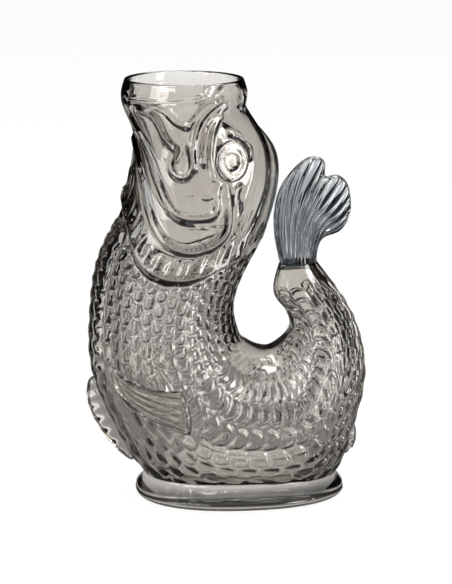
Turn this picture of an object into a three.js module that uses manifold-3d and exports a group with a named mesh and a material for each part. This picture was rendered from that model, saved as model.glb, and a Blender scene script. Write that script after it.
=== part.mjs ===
// Glass water carafe in the fish-jug form: a blown hollow fish on an oval foot, with a solid tail fin,
// side fins, edge fins and eyes put on as bits of hot glass.
// Millimetres, +Z up. The fish lies in the XZ plane: belly towards -X, back and tail towards +X.
// The origin is on the table under the middle of the foot.

import * as THREE from "three";
import { mergeVertices } from "three/addons/utils/BufferGeometryUtils.js";
import Module from "manifold-3d";

// Rim and lip
const RIM_HEIGHT = 250; // table to rim
const RIM_DIAMETER = 69; // outside
const RIM_AHEAD = 32.5; // rim axis to the foot's middle, towards the belly
const LIP_DROP = 11; // rim to the widest part of the lip
const LIP_SWELL = 2.4; // how far the lip stands out past the rim

// Blown body
const BELLY_REACH = 89.8; // foot's middle to the belly's outermost point
const HAUNCH_REACH = 76; // foot's middle to the haunch's outermost point
const BODY_DEPTH = 96; // across both flanks at the widest place
const GAP_FLOOR_HEIGHT = 89; // table to the bottom of the finger gap
const KEEL_DIP = 18; // how far the rounded belly would hang below the foot's top if it weren't cut flat
const WALL = 3.5;
const FLOOR = 5; // glass under the water, above the foot's top

// Relief on the body
const SCALE_PITCH = 8.9; // between two scales of one lane, halfway from belly to back
const SCALE_DEPTH = 1.2; // of the valleys between the scales
const CORD_RADIUS = 2.6; // of the gill covers' edges and the folds of the cheeks
const CORD_RISE = 2; // how far these stand off the skin

// Tail stem, where the tail fin is joined on
const JOINT_HEIGHT = 140; // table to the joint
const STEM_BACK = 35; // foot's middle to the stem's axis at the joint
const STEM_WIDTH = 22; // along the fish's own plane
const STEM_DEPTH = 21; // across it

// Foot
const FOOT_LENGTH = 125;
const FOOT_WIDTH = 98;
const FOOT_HEIGHT = 14;
const FOOT_EDGE_RADIUS = 4; // rounding where the foot meets the table
const FOOT_END_DRAW = 3.5; // how far the foot draws in towards its top, at its ends
const FOOT_SIDE_DRAW = 9; // the same at its sides

// Tail fin
const FIN_HEIGHT = 62; // joint to the tip
const FIN_FRONT = 14.7; // joint axis to the fin's edge on the belly side
const FIN_REAR = 31.5; // joint axis to the fin's edge on the far side
const FIN_THICKNESS = 12; // of the spread lobes
const FIN_EDGE = 3; // thickness of the fin's rim
const FIN_RAY_DEPTH = 0.9; // grooves between the rays
const FIN_RAYS = 8;

// Side fins
const SIDE_FIN_LENGTH = 47;
const SIDE_FIN_WIDTH = 27; // at the blunt end
const SIDE_FIN_ROOT_WIDTH = 7;
const SIDE_FIN_THICKNESS = 2.6;
const SIDE_FIN_AHEAD = 73; // foot's middle to the root, towards the belly
const SIDE_FIN_HEIGHT = 77; // table to the root
const SIDE_FIN_DROOP = 25; // degrees below level

// Edge fins, on the middle plane
const BELLY_FIN_HEIGHT = 9; // how far it stands off the belly
const BELLY_FIN_RAYS = 8;
const ANAL_FIN_HEIGHT = 5;
const ANAL_FIN_RAYS = 4;
const EDGE_FIN_ROOT = 5; // thickness at the body
const EDGE_FIN_TIP = 2.4; // thickness at the free edge

// Eyes
const EYE_WIDTH = 20;
const EYE_LENGTH = 24;
const EYE_RISE = 3.6; // how far the middle stands off the cheek
const EYE_AHEAD = 6; // foot's middle to the eye's middle, towards the belly
const EYE_DROP = 44; // rim to the eye's middle

const CLEARANCE = 0.3; // between the body and the bits put on it

// Mesh steps
const STEPS_PER_STATION = 3;
const SCALE_LANES = 20; // round the body
const BODY_SIDES = 2 * SCALE_LANES; // a valley and a crest to each lane
const CAVITY_SIDES = 24;
const CORD_SIDES = 6;
const CORD_STEPS = 16;

const wasm = await Module();
wasm.setup();

const { lerp, clamp, degToRad } = THREE.MathUtils;
const SMOKE_GLASS = { color: 0x8f8a82, roughness: 0.05, metalness: 0 };
const TAIL_GLASS = { color: 0x6b747c, roughness: 0.05, metalness: 0 };

function named(name, geometry, look) {
  const mesh = new THREE.Mesh(geometry, new THREE.MeshStandardMaterial(look));
  mesh.name = name;
  return mesh;
}

// A closed skin over a row of rings. Each ring starts and turns at its two tips, so point j faces
// point N - j across the ring, and each end is closed by a strip between those facing points. On a bumpy
// skin each face is split along its outer diagonal, so that the bumps' crests stay whole.
function closedLoft(rings, isBumpy = false) {
  const count = rings[0].length;
  const points = rings.flat();
  const triangles = [];
  const at = (ring, point) => ring * count + (point % count);
  const quad = (a, b, c, d) => {
    if (a !== b && b !== c) triangles.push(a, b, c);
    if (a !== d && d !== c) triangles.push(a, c, d);
  };
  const isSplitInside = (...corners) => {
    const [a, b, c, d] = corners.map((index) => points[index]);
    const outward = c.clone().sub(a).cross(d.clone().sub(b));
    return a.clone().add(c).sub(b).sub(d).dot(outward) < 0;
  };
  for (let ring = 0; ring + 1 < rings.length; ring += 1) {
    for (let point = 0; point < count; point += 1) {
      const corners = [at(ring, point), at(ring, point + 1), at(ring + 1, point + 1), at(ring + 1, point)];
      if (isBumpy && isSplitInside(...corners)) corners.push(corners.shift());
      quad(...corners);
    }
  }
  const last = rings.length - 1;
  for (let point = 0; point < count / 2; point += 1) {
    const facing = [point, point + 1, count - point - 1, count - point];
    const [a, b, c, d] = facing.map((index) => at(0, index));
    quad(d, c, b, a);
    const [e, f, g, h] = facing.map((index) => at(last, index));
    quad(e, f, g, h);
  }
  const geometry = new THREE.BufferGeometry();
  const coordinates = points.flatMap((point) => point.toArray());
  geometry.setAttribute("position", new THREE.Float32BufferAttribute(coordinates, 3));
  geometry.setIndex(triangles);
  geometry.computeVertexNormals();
  return geometry;
}

function toSolid(geometry) {
  const bare = geometry.clone();
  bare.deleteAttribute("normal");
  bare.deleteAttribute("uv");
  const merged = mergeVertices(bare);
  const mesh = new wasm.Mesh({
    numProp: 3,
    vertProperties: new Float32Array(merged.attributes.position.array),
    triVerts: new Uint32Array(merged.index.array),
  });
  return new wasm.Manifold(mesh);
}

function toGeometry(solid) {
  const mesh = solid.getMesh();
  const geometry = new THREE.BufferGeometry();
  geometry.setAttribute("position", new THREE.BufferAttribute(mesh.vertProperties, 3));
  geometry.setIndex(new THREE.BufferAttribute(mesh.triVerts, 1));
  geometry.computeVertexNormals();
  return geometry;
}

// Everything of a solid that lies above a level
function above(level, solid) {
  const size = 2 * (RIM_HEIGHT + BELLY_REACH + HAUNCH_REACH);
  const box = new THREE.BoxGeometry(size, size, size).translate(0, 0, level - size / 2);
  return solid.subtract(toSolid(box));
}

// The fish's outline, as ribs from the belly edge to the back edge. Places are shares: across, of the
// belly's or the haunch's reach; up, of the rise from the foot's top (belly edge) or from the finger
// gap's floor (back edge) to the rim (head rows) or to the tail joint (tail rows). Depth is a share of
// the body's depth.
const HEAD_ROWS = [
  { name: "neck", belly: [-0.755, 0.926], back: [0.045, 0.894], depth: 0.745 },
  { name: "throat", belly: [-0.706, 0.881], back: [0.114, 0.839], depth: 0.74 },
  { name: "cheek", belly: [-0.698, 0.818], back: [0.272, 0.742], depth: 0.78 },
  { name: "gill", belly: [-0.73, 0.746], back: [0.3, 0.627], depth: 0.84 },
  { name: "collar", belly: [-0.782, 0.674], back: [0.248, 0.516], depth: 0.885 },
  { name: "breast", belly: [-0.884, 0.602], back: [0.168, 0.41], depth: 0.925 },
  { name: "upper belly", belly: [-0.961, 0.521], back: [0.042, 0.298], depth: 0.96 },
  { name: "belly", belly: [-0.994, 0.419], back: [-0.038, 0.18], depth: 0.985 },
  { name: "widest", belly: [-1, 0.314], back: [-0.028, 0.106], depth: 1 },
  { name: "lower belly", belly: [-0.961, 0.237], back: [0, 0.059], depth: 1 },
  { name: "keel", belly: [-0.84, 0.127], back: [0.052, 0.031], depth: 0.985 },
];
const TAIL_ROWS = [
  { name: "lower haunch", belly: [0.909, 0.206], back: [0.335, 0.088], depth: 0.8 },
  { name: "haunch", belly: [1, 0.444], back: [0.378, 0.167], depth: 0.67 },
  { name: "upper haunch", belly: [0.961, 0.643], back: [0.395, 0.275], depth: 0.54 },
  { name: "lower stem", belly: [0.831, 0.817], back: [0.337, 0.47], depth: 0.4 },
  { name: "stem", belly: [0.686, 0.937], back: [0.266, 0.667], depth: 0.29 },
];
// The three ribs that stand on the foot: the belly edge is placed by its share of the keel's dip.
const FOOT_ROWS = [
  { name: "front heel", across: -0.615, dip: 0.1, back: [0.117, 0.012], depth: 0.97 },
  { name: "base", across: 0.026, dip: 1, back: [0.195, 0], depth: 0.95 },
  { name: "rear heel", across: 0.74, dip: 0.2, back: [0.266, 0.005], depth: 0.9 },
];

const reach = (share) => share * (share < 0 ? BELLY_REACH : HAUNCH_REACH);
const onPlane = (x, z) => new THREE.Vector3(x, 0, z);

function rowStation(row, top) {
  return {
    name: row.name,
    belly: onPlane(reach(row.belly[0]), lerp(FOOT_HEIGHT, top, row.belly[1])),
    back: onPlane(reach(row.back[0]), lerp(GAP_FLOOR_HEIGHT, top, row.back[1])),
    halfDepth: (row.depth * BODY_DEPTH) / 2,
  };
}

function footStation(row) {
  return {
    name: row.name,
    belly: onPlane(reach(row.across), FOOT_HEIGHT - row.dip * KEEL_DIP),
    back: onPlane(reach(row.back[0]), lerp(GAP_FLOOR_HEIGHT, RIM_HEIGHT, row.back[1])),
    halfDepth: (row.depth * BODY_DEPTH) / 2,
  };
}

function levelStation(name, middle, height, width, depth) {
  const bellyward = Math.sign(middle);
  return {
    name,
    belly: onPlane(middle + (bellyward * width) / 2, height),
    back: onPlane(middle - (bellyward * width) / 2, height),
    halfDepth: depth / 2,
  };
}

const lipDiameter = RIM_DIAMETER + 2 * LIP_SWELL;
const stations = [
  levelStation("rim", -RIM_AHEAD, RIM_HEIGHT, RIM_DIAMETER, RIM_DIAMETER),
  levelStation("lip", -RIM_AHEAD, RIM_HEIGHT - LIP_DROP, lipDiameter, lipDiameter),
  ...HEAD_ROWS.map((row) => rowStation(row, RIM_HEIGHT)),
  ...FOOT_ROWS.map(footStation),
  ...TAIL_ROWS.map((row) => rowStation(row, JOINT_HEIGHT)),
  levelStation("joint", STEM_BACK, JOINT_HEIGHT, STEM_WIDTH, STEM_DEPTH),
];
const stationOf = (name) => stations.findIndex((station) => station.name === name);
const lastStation = stations.length - 1;
const bellyCurve = new THREE.CatmullRomCurve3(stations.map((station) => station.belly));
const backCurve = new THREE.CatmullRomCurve3(stations.map((station) => station.back));
const depthCurve = new THREE.SplineCurve(stations.map((s, index) => new THREE.Vector2(index, s.halfDepth)));

// The rib at a place along the fish, counted in stations
function ribAt(place) {
  const share = clamp(place / lastStation, 0, 1);
  const belly = bellyCurve.getPoint(share);
  const back = backCurve.getPoint(share);
  return {
    belly,
    back,
    middle: belly.clone().add(back).multiplyScalar(0.5),
    half: belly.clone().sub(back).multiplyScalar(0.5),
    halfDepth: depthCurve.getPoint(share).y,
  };
}

// An ellipse on a rib, drawn in at each of its points and shrunk by a factor, from the belly tip round to
// it again
function ribRing(rib, sides, insetAt, shrink) {
  return Array.from({ length: sides }, (_, side) => {
    const turn = (2 * Math.PI * side) / sides;
    const inset = insetAt(side);
    const long = rib.half.clone().setLength((rib.half.length() - inset) * shrink);
    const point = rib.middle.clone().addScaledVector(long, Math.cos(turn));
    point.y = (rib.halfDepth - inset) * shrink * Math.sin(turn);
    return point;
  });
}

// The head's relief, as places along the fish and degrees round it from the belly edge
const GILL_EDGE = [
  [5.2, 8],
  [6, 18],
  [6.6, 35],
  [7.15, 48],
  [7.55, 60],
  [7.85, 75],
  [7.95, 90],
  [7.85, 103],
  [7.55, 116],
  [7.1, 126],
  [6.7, 136],
  [6.2, 143],
];
const JAW = [
  [4.3, 23],
  [5.15, 36],
  [5.85, 47],
  [6.45, 61],
  [6.85, 74],
  [7, 87],
  [6.9, 99],
  [6.7, 106],
  [6.35, 110],
  [5.85, 109],
  [5.3, 107],
  [4.85, 104],
];
const CHEEK = [
  [3.2, 26],
  [3.95, 37],
  [4.5, 44],
  [5, 51],
  [5.45, 59],
  [5.75, 67],
  [5.9, 78],
  [5.85, 87],
  [5.65, 93],
  [5.35, 93],
];

// A value between the rows of a table [value, key], whose keys rise
function between(table, key) {
  const after = table.findIndex((row) => row[1] >= key);
  if (after < 0) return table.at(-1)[0];
  if (after === 0) return table[0][0];
  const [low, high] = [table[after - 1], table[after]];
  return lerp(low[0], high[0], (key - low[1]) / (high[1] - low[1]));
}

// Each station with the way to it along the fish: the mean of the ways along the belly and the back edge
const stationWays = stations.map((_, index) => [index, 0]);
for (let index = 1; index <= lastStation; index += 1) {
  const [before, here] = [stations[index - 1], stations[index]];
  const step = (before.belly.distanceTo(here.belly) + before.back.distanceTo(here.back)) / 2;
  stationWays[index][1] = stationWays[index - 1][1] + step;
}
const wayTo = (place) => between(stationWays.map(([station, way]) => [way, station]), place);

// The place of a row of scales, two rows to the pitch
const rowPlace = (row) => between(stationWays, (row * SCALE_PITCH) / 2);

// The bare skin at a place along the fish and an angle round it
function skinAt(place, degrees) {
  const rib = ribAt(place);
  const turn = degToRad(degrees);
  const point = rib.middle.clone().addScaledVector(rib.half, Math.cos(turn));
  return point.setY(rib.halfDepth * Math.sin(turn));
}

// How deep the skin is drawn in between the scales, which stand in lanes and are staggered from lane to
// lane. It is smooth ahead of the gill covers' edges and along the back, and shallow where the bend
// squeezes the rows.
function scaleInset(row, side) {
  const fromBelly = Math.min(side, BODY_SIDES - side);
  const isCrest = fromBelly % 2 === 0 && (row + fromBelly / 2) % 2 === 0;
  if (isCrest) return 0;
  const degrees = (360 * fromBelly) / BODY_SIDES;
  const gillFade = 0.3; // of a station
  const [smoothFrom, backFade] = [173, 18]; // degrees
  const behindGill = clamp((rowPlace(row) - between(GILL_EDGE, degrees)) / gillFade, 0, 1);
  const offBack = clamp((smoothFrom - degrees) / backFade, 0, 1);
  const spacing = skinAt(rowPlace(row - 1), degrees).distanceTo(skinAt(rowPlace(row + 1), degrees));
  const spread = Math.min(1, spacing / SCALE_PITCH);
  return SCALE_DEPTH * behindGill * offBack * spread * spread;
}

function skinRings() {
  const smooth = (place) => ribRing(ribAt(place), BODY_SIDES, () => 0, 1);
  const scalesFrom = GILL_EDGE[0][0];
  const smoothStem = 0.5; // of a station
  const scalesTo = stationOf("stem") - smoothStem;
  const rings = [];
  for (let step = 0; step / STEPS_PER_STATION < scalesFrom; step += 1) {
    rings.push(smooth(step / STEPS_PER_STATION));
  }
  const firstRow = Math.ceil((2 * wayTo(scalesFrom)) / SCALE_PITCH);
  for (let row = firstRow; rowPlace(row) <= scalesTo; row += 1) {
    rings.push(ribRing(ribAt(rowPlace(row)), BODY_SIDES, (side) => scaleInset(row, side), 1));
  }
  const stemSteps = 2 * STEPS_PER_STATION;
  const stemFrom = scalesTo + 1 / STEPS_PER_STATION;
  for (let step = 0; step <= stemSteps; step += 1) {
    rings.push(smooth(lerp(stemFrom, lastStation, step / stemSteps)));
  }
  return rings;
}

// A round cord along the skin, mostly sunk into it, which fades into the skin at both ends
function cordGeometry(table, side) {
  const knots = table.map(([place, degrees]) => new THREE.Vector3(place, side * degrees, 0));
  const line = new THREE.CatmullRomCurve3(knots);
  const nudge = 0.01;
  const endSteepness = 0.4;
  const sunkHeight = -1.2 * CORD_RADIUS;
  const rings = Array.from({ length: CORD_STEPS + 1 }, (_, step) => {
    const share = step / CORD_STEPS;
    const { x: place, y: degrees } = line.getPoint(share);
    const ahead = line.getPoint(Math.min(1, share + nudge));
    const behind = line.getPoint(Math.max(0, share - nudge));
    const along = skinAt(ahead.x, ahead.y).sub(skinAt(behind.x, behind.y)).normalize();
    const tailward = skinAt(place + nudge, degrees).sub(skinAt(place - nudge, degrees));
    const round = skinAt(place, degrees + 1).sub(skinAt(place, degrees - 1));
    const outward = round.cross(tailward).normalize();
    const across = along.clone().cross(outward);
    const fade = Math.sin(Math.PI * share) ** endSteepness;
    const height = lerp(sunkHeight, CORD_RISE - CORD_RADIUS, fade);
    const middle = skinAt(place, degrees).addScaledVector(outward, height);
    return Array.from({ length: CORD_SIDES }, (__, index) => {
      const turn = (2 * Math.PI * index) / CORD_SIDES;
      const point = middle.clone().addScaledVector(outward, CORD_RADIUS * Math.cos(turn));
      return point.addScaledVector(across, CORD_RADIUS * Math.sin(turn));
    });
  });
  return closedLoft(rings);
}

function bodyGeometry() {
  const closesFrom = stationOf("stem");
  const closed = lastStation - 1 / STEPS_PER_STATION;
  const cavity = Array.from({ length: closed * STEPS_PER_STATION }, (_, step) => {
    const place = step / STEPS_PER_STATION;
    const closing = Math.max(0, (place - closesFrom) / (closed - closesFrom));
    return ribRing(ribAt(place), CAVITY_SIDES, () => WALL, Math.sqrt(1 - closing * closing));
  });
  const mouth = cavity[0].map((point) => point.clone().setZ(RIM_HEIGHT + WALL));
  const hollow = above(FOOT_HEIGHT + FLOOR, toSolid(closedLoft([mouth, ...cavity])));
  let fish = toSolid(closedLoft(skinRings(), true));
  for (const table of [GILL_EDGE, JAW, CHEEK]) {
    for (const side of [-1, 1]) fish = fish.add(toSolid(cordGeometry(table, side)));
  }
  return toGeometry(above(FOOT_HEIGHT + CLEARANCE, fish).subtract(hollow));
}

// The body's own surface, seen from the side: the flank's distance from the middle plane at (x, z)
function flankAt(x, z) {
  const samples = 240;
  const offRib = (rib) => {
    const dx = x - rib.back.x;
    const dz = z - rib.back.z;
    return dx * rib.half.z - dz * rib.half.x;
  };
  let before = ribAt(0);
  for (let sample = 1; sample <= samples; sample += 1) {
    const place = (lastStation * sample) / samples;
    const after = ribAt(place);
    const [low, high] = [offRib(before), offRib(after)];
    if (low * high <= 0 && low !== high) {
      const rib = ribAt(place - ((lastStation / samples) * high) / (high - low));
      const along = onPlane(x, z).sub(rib.middle).dot(rib.half) / rib.half.lengthSq();
      if (Math.abs(along) <= 1) return rib.halfDepth * Math.sqrt(1 - along * along);
    }
    before = after;
  }
  return 0;
}

// A point at a height over the flank's skin, on the left (-1) or the right (+1) of the fish
function overFlank(x, z, height, side) {
  const step = 0.5;
  const slopeX = (flankAt(x + step, z) - flankAt(x - step, z)) / (2 * step);
  const slopeZ = (flankAt(x, z + step) - flankAt(x, z - step)) / (2 * step);
  const outward = new THREE.Vector3(-slopeX, 1, -slopeZ).setLength(height);
  const point = new THREE.Vector3(x, flankAt(x, z), z).add(outward);
  point.y *= side;
  return point;
}

// Rings are walked the other way round on the left, so that the faces of both sides point outwards
const handed = (ring, side) => (side > 0 ? ring : [ring[0], ...ring.slice(1).reverse()]);

// A domed oval: rings from the middle of the dome out to its rim and back under it
function eyeGeometry(side) {
  const sides = 28;
  const profile = [
    [0.12, 1],
    [0.34, 0.93],
    [0.5, 0.62],
    [0.62, 0.7],
    [0.8, 0.62],
    [0.93, 0.36],
    [1, 0],
    [0.66, 0],
    [0.12, 0],
  ];
  const rings = profile.map(([out, rise]) => {
    const ring = Array.from({ length: sides }, (_, index) => {
      const turn = (2 * Math.PI * index) / sides;
      const x = -EYE_AHEAD + (out * EYE_WIDTH * Math.cos(turn)) / 2;
      const z = RIM_HEIGHT - EYE_DROP + (out * EYE_LENGTH * Math.sin(turn)) / 2;
      return overFlank(x, z, CLEARANCE + rise * EYE_RISE, side);
    });
    return handed(ring, side);
  });
  return closedLoft(rings);
}

// A blunt ribbed fan that lies on the flank: rings across it, from the root to the bowed free end
function sideFinGeometry(side) {
  const rows = 10;
  const across = 12;
  const rays = 4;
  const rayShare = 0.15; // of the thickness
  const rootShare = 0.45; // of the thickness
  const bow = 0.12 * SIDE_FIN_WIDTH;
  const edgePower = 6;
  const droop = degToRad(SIDE_FIN_DROOP);
  const place = (along, off) => [
    -SIDE_FIN_AHEAD + along * Math.cos(droop) + off * Math.sin(droop),
    SIDE_FIN_HEIGHT - along * Math.sin(droop) + off * Math.cos(droop),
  ];
  const rings = Array.from({ length: rows + 1 }, (_, row) => {
    const share = row / rows;
    const width = lerp(SIDE_FIN_ROOT_WIDTH, SIDE_FIN_WIDTH, Math.sin((share * Math.PI) / 2));
    const thickness = SIDE_FIN_THICKNESS * lerp(rootShare, 1, Math.sqrt(share));
    const sheet = (rise) => Array.from({ length: across + 1 }, (__, index) => {
      const off = (2 * index) / across - 1;
      const ray = 1 - (rayShare * (1 - Math.cos(Math.PI * rays * off))) / 2;
      const edge = Math.sqrt(1 - off ** edgePower);
      const along = share * (SIDE_FIN_LENGTH + bow * (1 - off * off));
      const [x, z] = place(along, (off * width) / 2);
      return overFlank(x, z, CLEARANCE + rise * thickness * ray * edge, side);
    });
    const ring = [...sheet(1), ...sheet(0).slice(1, -1).reverse()];
    return handed(ring, side);
  });
  return closedLoft(rings);
}

// A thin flange along the belly edge between two places, standing off it by a height that swells and fades
function edgeFinGeometry(from, to, height, rays) {
  const stepsPerRay = 4;
  const scallopShare = 0.16; // of the height
  const endShare = 0.2; // of the height
  const lean = 0.8; // under 1 moves the highest place towards the start
  const rows = stepsPerRay * rays;
  const outwardAt = (place) => {
    const step = 0.05;
    const along = ribAt(place + step).belly.sub(ribAt(place - step).belly);
    return onPlane(along.z, -along.x).normalize();
  };
  const rings = Array.from({ length: rows + 1 }, (_, row) => {
    const share = row / rows;
    const place = lerp(from, to, share);
    const scallop = 1 - (scallopShare * (1 - Math.cos(2 * Math.PI * rays * share))) / 2;
    const swell = Math.sin(Math.PI * share ** lean) ** lean;
    const stand = height * lerp(endShare, 1, swell) * scallop;
    const corner = (off, y) => ribAt(place).belly.addScaledVector(outwardAt(place), CLEARANCE + off).setY(y);
    return [
      corner(0, -EDGE_FIN_ROOT / 2),
      corner(stand, -EDGE_FIN_TIP / 2),
      corner(stand, EDGE_FIN_TIP / 2),
      corner(0, EDGE_FIN_ROOT / 2),
    ];
  });
  return closedLoft(rings);
}

// The two-lobed fan: a sheet between a front edge, a rear edge, the joint and a notched top edge. Places
// are shares of the fin's own front and rear widths and of its height, seen from the joint's middle.
function tailFinGeometry() {
  const rows = 14;
  const across = 32;
  const rootHeight = JOINT_HEIGHT + CLEARANCE;
  const spot = ([share, rise]) => {
    const wide = share < 0 ? FIN_FRONT : FIN_REAR;
    return onPlane(STEM_BACK + share * wide, rootHeight + rise * FIN_HEIGHT);
  };
  const rootFront = onPlane(STEM_BACK - STEM_WIDTH / 2, rootHeight);
  const rootRear = onPlane(STEM_BACK + STEM_WIDTH / 2, rootHeight);
  const curve = (points) => new THREE.CatmullRomCurve3(points);
  const front = curve([rootFront, ...[[-0.96, 0.22], [-1, 0.42], [-0.86, 0.64], [-0.58, 0.78]].map(spot)]);
  const rear = curve([rootRear, ...[[0.37, 0.12], [0.5, 0.215]].map(spot)]);
  const topPlaces = [
    [-0.58, 0.78],
    [-0.06, 0.92],
    [0.3, 1],
    [0.49, 0.95],
    [0.52, 0.81],
    [0.69, 0.82],
    [0.89, 0.77],
    [0.98, 0.62],
    [0.96, 0.44],
    [0.76, 0.29],
    [0.5, 0.215],
  ];
  const top = curve(topPlaces.map(spot));
  // Coons patch: the mean of the two ruled sheets, less the bilinear sheet through the corners
  const sheetAt = (up, over) => {
    const sides = front.getPoint(up).lerp(rear.getPoint(up), over);
    const ends = rootFront.clone().lerp(rootRear, over).lerp(top.getPoint(over), up);
    const low = rootFront.clone().lerp(rootRear, over);
    const high = top.getPoint(0).lerp(top.getPoint(1), over);
    return sides.add(ends).sub(low.lerp(high, up));
  };
  const lobeRoundness = 6; // power of the section's outline, from an ellipse at the joint to a slab
  const stemRoundness = 2;
  const rings = Array.from({ length: rows + 1 }, (_, row) => {
    const up = row / rows;
    const stemShare = (1 - up) ** 2;
    const half = lerp(FIN_THICKNESS, STEM_DEPTH, stemShare) / 2;
    const roundness = lerp(lobeRoundness, stemRoundness, stemShare);
    const taper = lerp(FIN_EDGE / FIN_THICKNESS, 1, Math.sqrt(1 - up ** 4));
    const grooves = FIN_RAY_DEPTH * (1 - stemShare) * taper;
    const sheet = (side) => Array.from({ length: across + 1 }, (__, index) => {
      const over = index / across;
      const edge = (1 - Math.abs(2 * over - 1) ** roundness) ** (1 / roundness);
      const groove = (grooves * (1 - Math.cos(2 * Math.PI * FIN_RAYS * over))) / 2;
      const point = sheetAt(up, over);
      point.y = side * edge * (half * taper - groove);
      return point;
    });
    return [...sheet(-1), ...sheet(1).slice(1, -1).reverse()];
  });
  return closedLoft(rings);
}

// An oval pad: flat below, rounded at the table, then drawn in to a flat top
function footGeometry() {
  const sides = 56;
  const fullness = 2.3;
  const edgeSteps = 4;
  const flareSteps = 3;
  const flarePower = 1.5;
  const ring = (endInset, sideInset, height) => Array.from({ length: sides }, (_, side) => {
    const turn = (2 * Math.PI * side) / sides;
    const round = (value) => Math.sign(value) * Math.abs(value) ** (2 / fullness);
    const x = (FOOT_LENGTH / 2 - endInset) * round(Math.cos(turn));
    const y = (FOOT_WIDTH / 2 - sideInset) * round(Math.sin(turn));
    return new THREE.Vector3(x, y, height);
  });
  const rings = [];
  for (let step = 0; step <= edgeSteps; step += 1) {
    const turn = (Math.PI / 2) * (step / edgeSteps);
    const inset = FOOT_EDGE_RADIUS * (1 - Math.sin(turn));
    rings.push(ring(inset, inset, FOOT_EDGE_RADIUS * (1 - Math.cos(turn))));
  }
  for (let step = 1; step <= flareSteps; step += 1) {
    const share = step / flareSteps;
    const draw = share ** flarePower;
    rings.push(ring(FOOT_END_DRAW * draw, FOOT_SIDE_DRAW * draw, lerp(FOOT_EDGE_RADIUS, FOOT_HEIGHT, share)));
  }
  return closedLoft(rings);
}

const carafe = new THREE.Group();
carafe.add(named("body", bodyGeometry(), SMOKE_GLASS));
carafe.add(named("foot", footGeometry(), SMOKE_GLASS));
carafe.add(named("tail_fin", tailFinGeometry(), TAIL_GLASS));
for (const [name, side] of [["left", -1], ["right", 1]]) {
  carafe.add(named(`pectoral_fin_${name}`, sideFinGeometry(side), SMOKE_GLASS));
  carafe.add(named(`eye_${name}`, eyeGeometry(side), SMOKE_GLASS));
}
const bellyFinStarts = stationOf("lower belly") - 0.15;
const bellyFinEnds = stationOf("front heel") - 0.3;
const bellyFin = edgeFinGeometry(bellyFinStarts, bellyFinEnds, BELLY_FIN_HEIGHT, BELLY_FIN_RAYS);
carafe.add(named("belly_fin", bellyFin, SMOKE_GLASS));
const analFinStarts = stationOf("rear heel") + 0.42;
const analFinEnds = stationOf("lower haunch") + 0.02;
const analFin = edgeFinGeometry(analFinStarts, analFinEnds, ANAL_FIN_HEIGHT, ANAL_FIN_RAYS);
carafe.add(named("anal_fin", analFin, SMOKE_GLASS));

export default carafe;
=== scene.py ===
"""Glass fish carafe: blown body, foot, fins and eyes as numpy surfaces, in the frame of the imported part.

Metres, +Z up. The fish lies in the XZ plane with its belly towards -X and its tail towards +X, and the
photographed flank, its left one, faces -Y.
"""

import math

import bpy
import numpy as np
from bpy.props import FloatProperty, FloatVectorProperty, IntProperty, PointerProperty
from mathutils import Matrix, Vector


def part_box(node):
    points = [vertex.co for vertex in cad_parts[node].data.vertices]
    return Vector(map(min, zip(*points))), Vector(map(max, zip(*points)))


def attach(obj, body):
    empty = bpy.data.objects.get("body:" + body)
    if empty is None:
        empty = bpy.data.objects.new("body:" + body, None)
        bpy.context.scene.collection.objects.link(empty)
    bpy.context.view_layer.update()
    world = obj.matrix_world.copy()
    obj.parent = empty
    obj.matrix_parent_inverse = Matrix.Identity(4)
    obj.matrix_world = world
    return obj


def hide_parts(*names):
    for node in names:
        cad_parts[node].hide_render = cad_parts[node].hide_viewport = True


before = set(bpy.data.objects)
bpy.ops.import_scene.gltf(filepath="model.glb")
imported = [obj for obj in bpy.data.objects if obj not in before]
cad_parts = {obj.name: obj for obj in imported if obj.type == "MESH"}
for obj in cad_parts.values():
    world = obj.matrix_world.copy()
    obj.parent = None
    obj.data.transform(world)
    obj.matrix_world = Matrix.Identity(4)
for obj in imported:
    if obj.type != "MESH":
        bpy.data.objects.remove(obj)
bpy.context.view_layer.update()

bl_info = {
    "name": "Glass fish carafe",
    "version": (1, 0, 0),
    "blender": (4, 5, 0),
    "location": "3D View > Sidebar > Carafe",
    "description": "Makes a smoke-grey glass carafe in the fish-jug form, piece by piece",
    "category": "Add Mesh",
}

MM = 0.001
LEFT, RIGHT = -1, 1
FLOOR_RADIUS = 6.0

# Sizes of the frame
BODY_LOW, BODY_HIGH = (np.array(corner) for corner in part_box("body"))
FOOT_HIGH = np.array(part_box("foot")[1])
TAIL_FIN_LOW, TAIL_FIN_HIGH = (np.array(corner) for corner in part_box("tail_fin"))
RIM_TOP = BODY_HIGH[2]
FOOT_TOP = FOOT_HIGH[2]
JOINT_HEIGHT = TAIL_FIN_LOW[2]

# Places that the boxes don't give
GAP_FLOOR = 89 * MM  # table to the bottom of the finger gap
KEEL_DIP = 18 * MM  # how far the belly's round would hang below the foot's top
RIM_AHEAD = 32.5 * MM  # rim axis to the foot's middle
RIM_RADIUS = 34.5 * MM
LIP_DROP = 11 * MM  # rim to the widest part of the lip
LIP_SWELL = 2.4 * MM
STEM_BACK = 35 * MM  # foot's middle to the tail stem's axis
STEM_WIDTH = 22 * MM
STEM_DEPTH = 21 * MM

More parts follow.
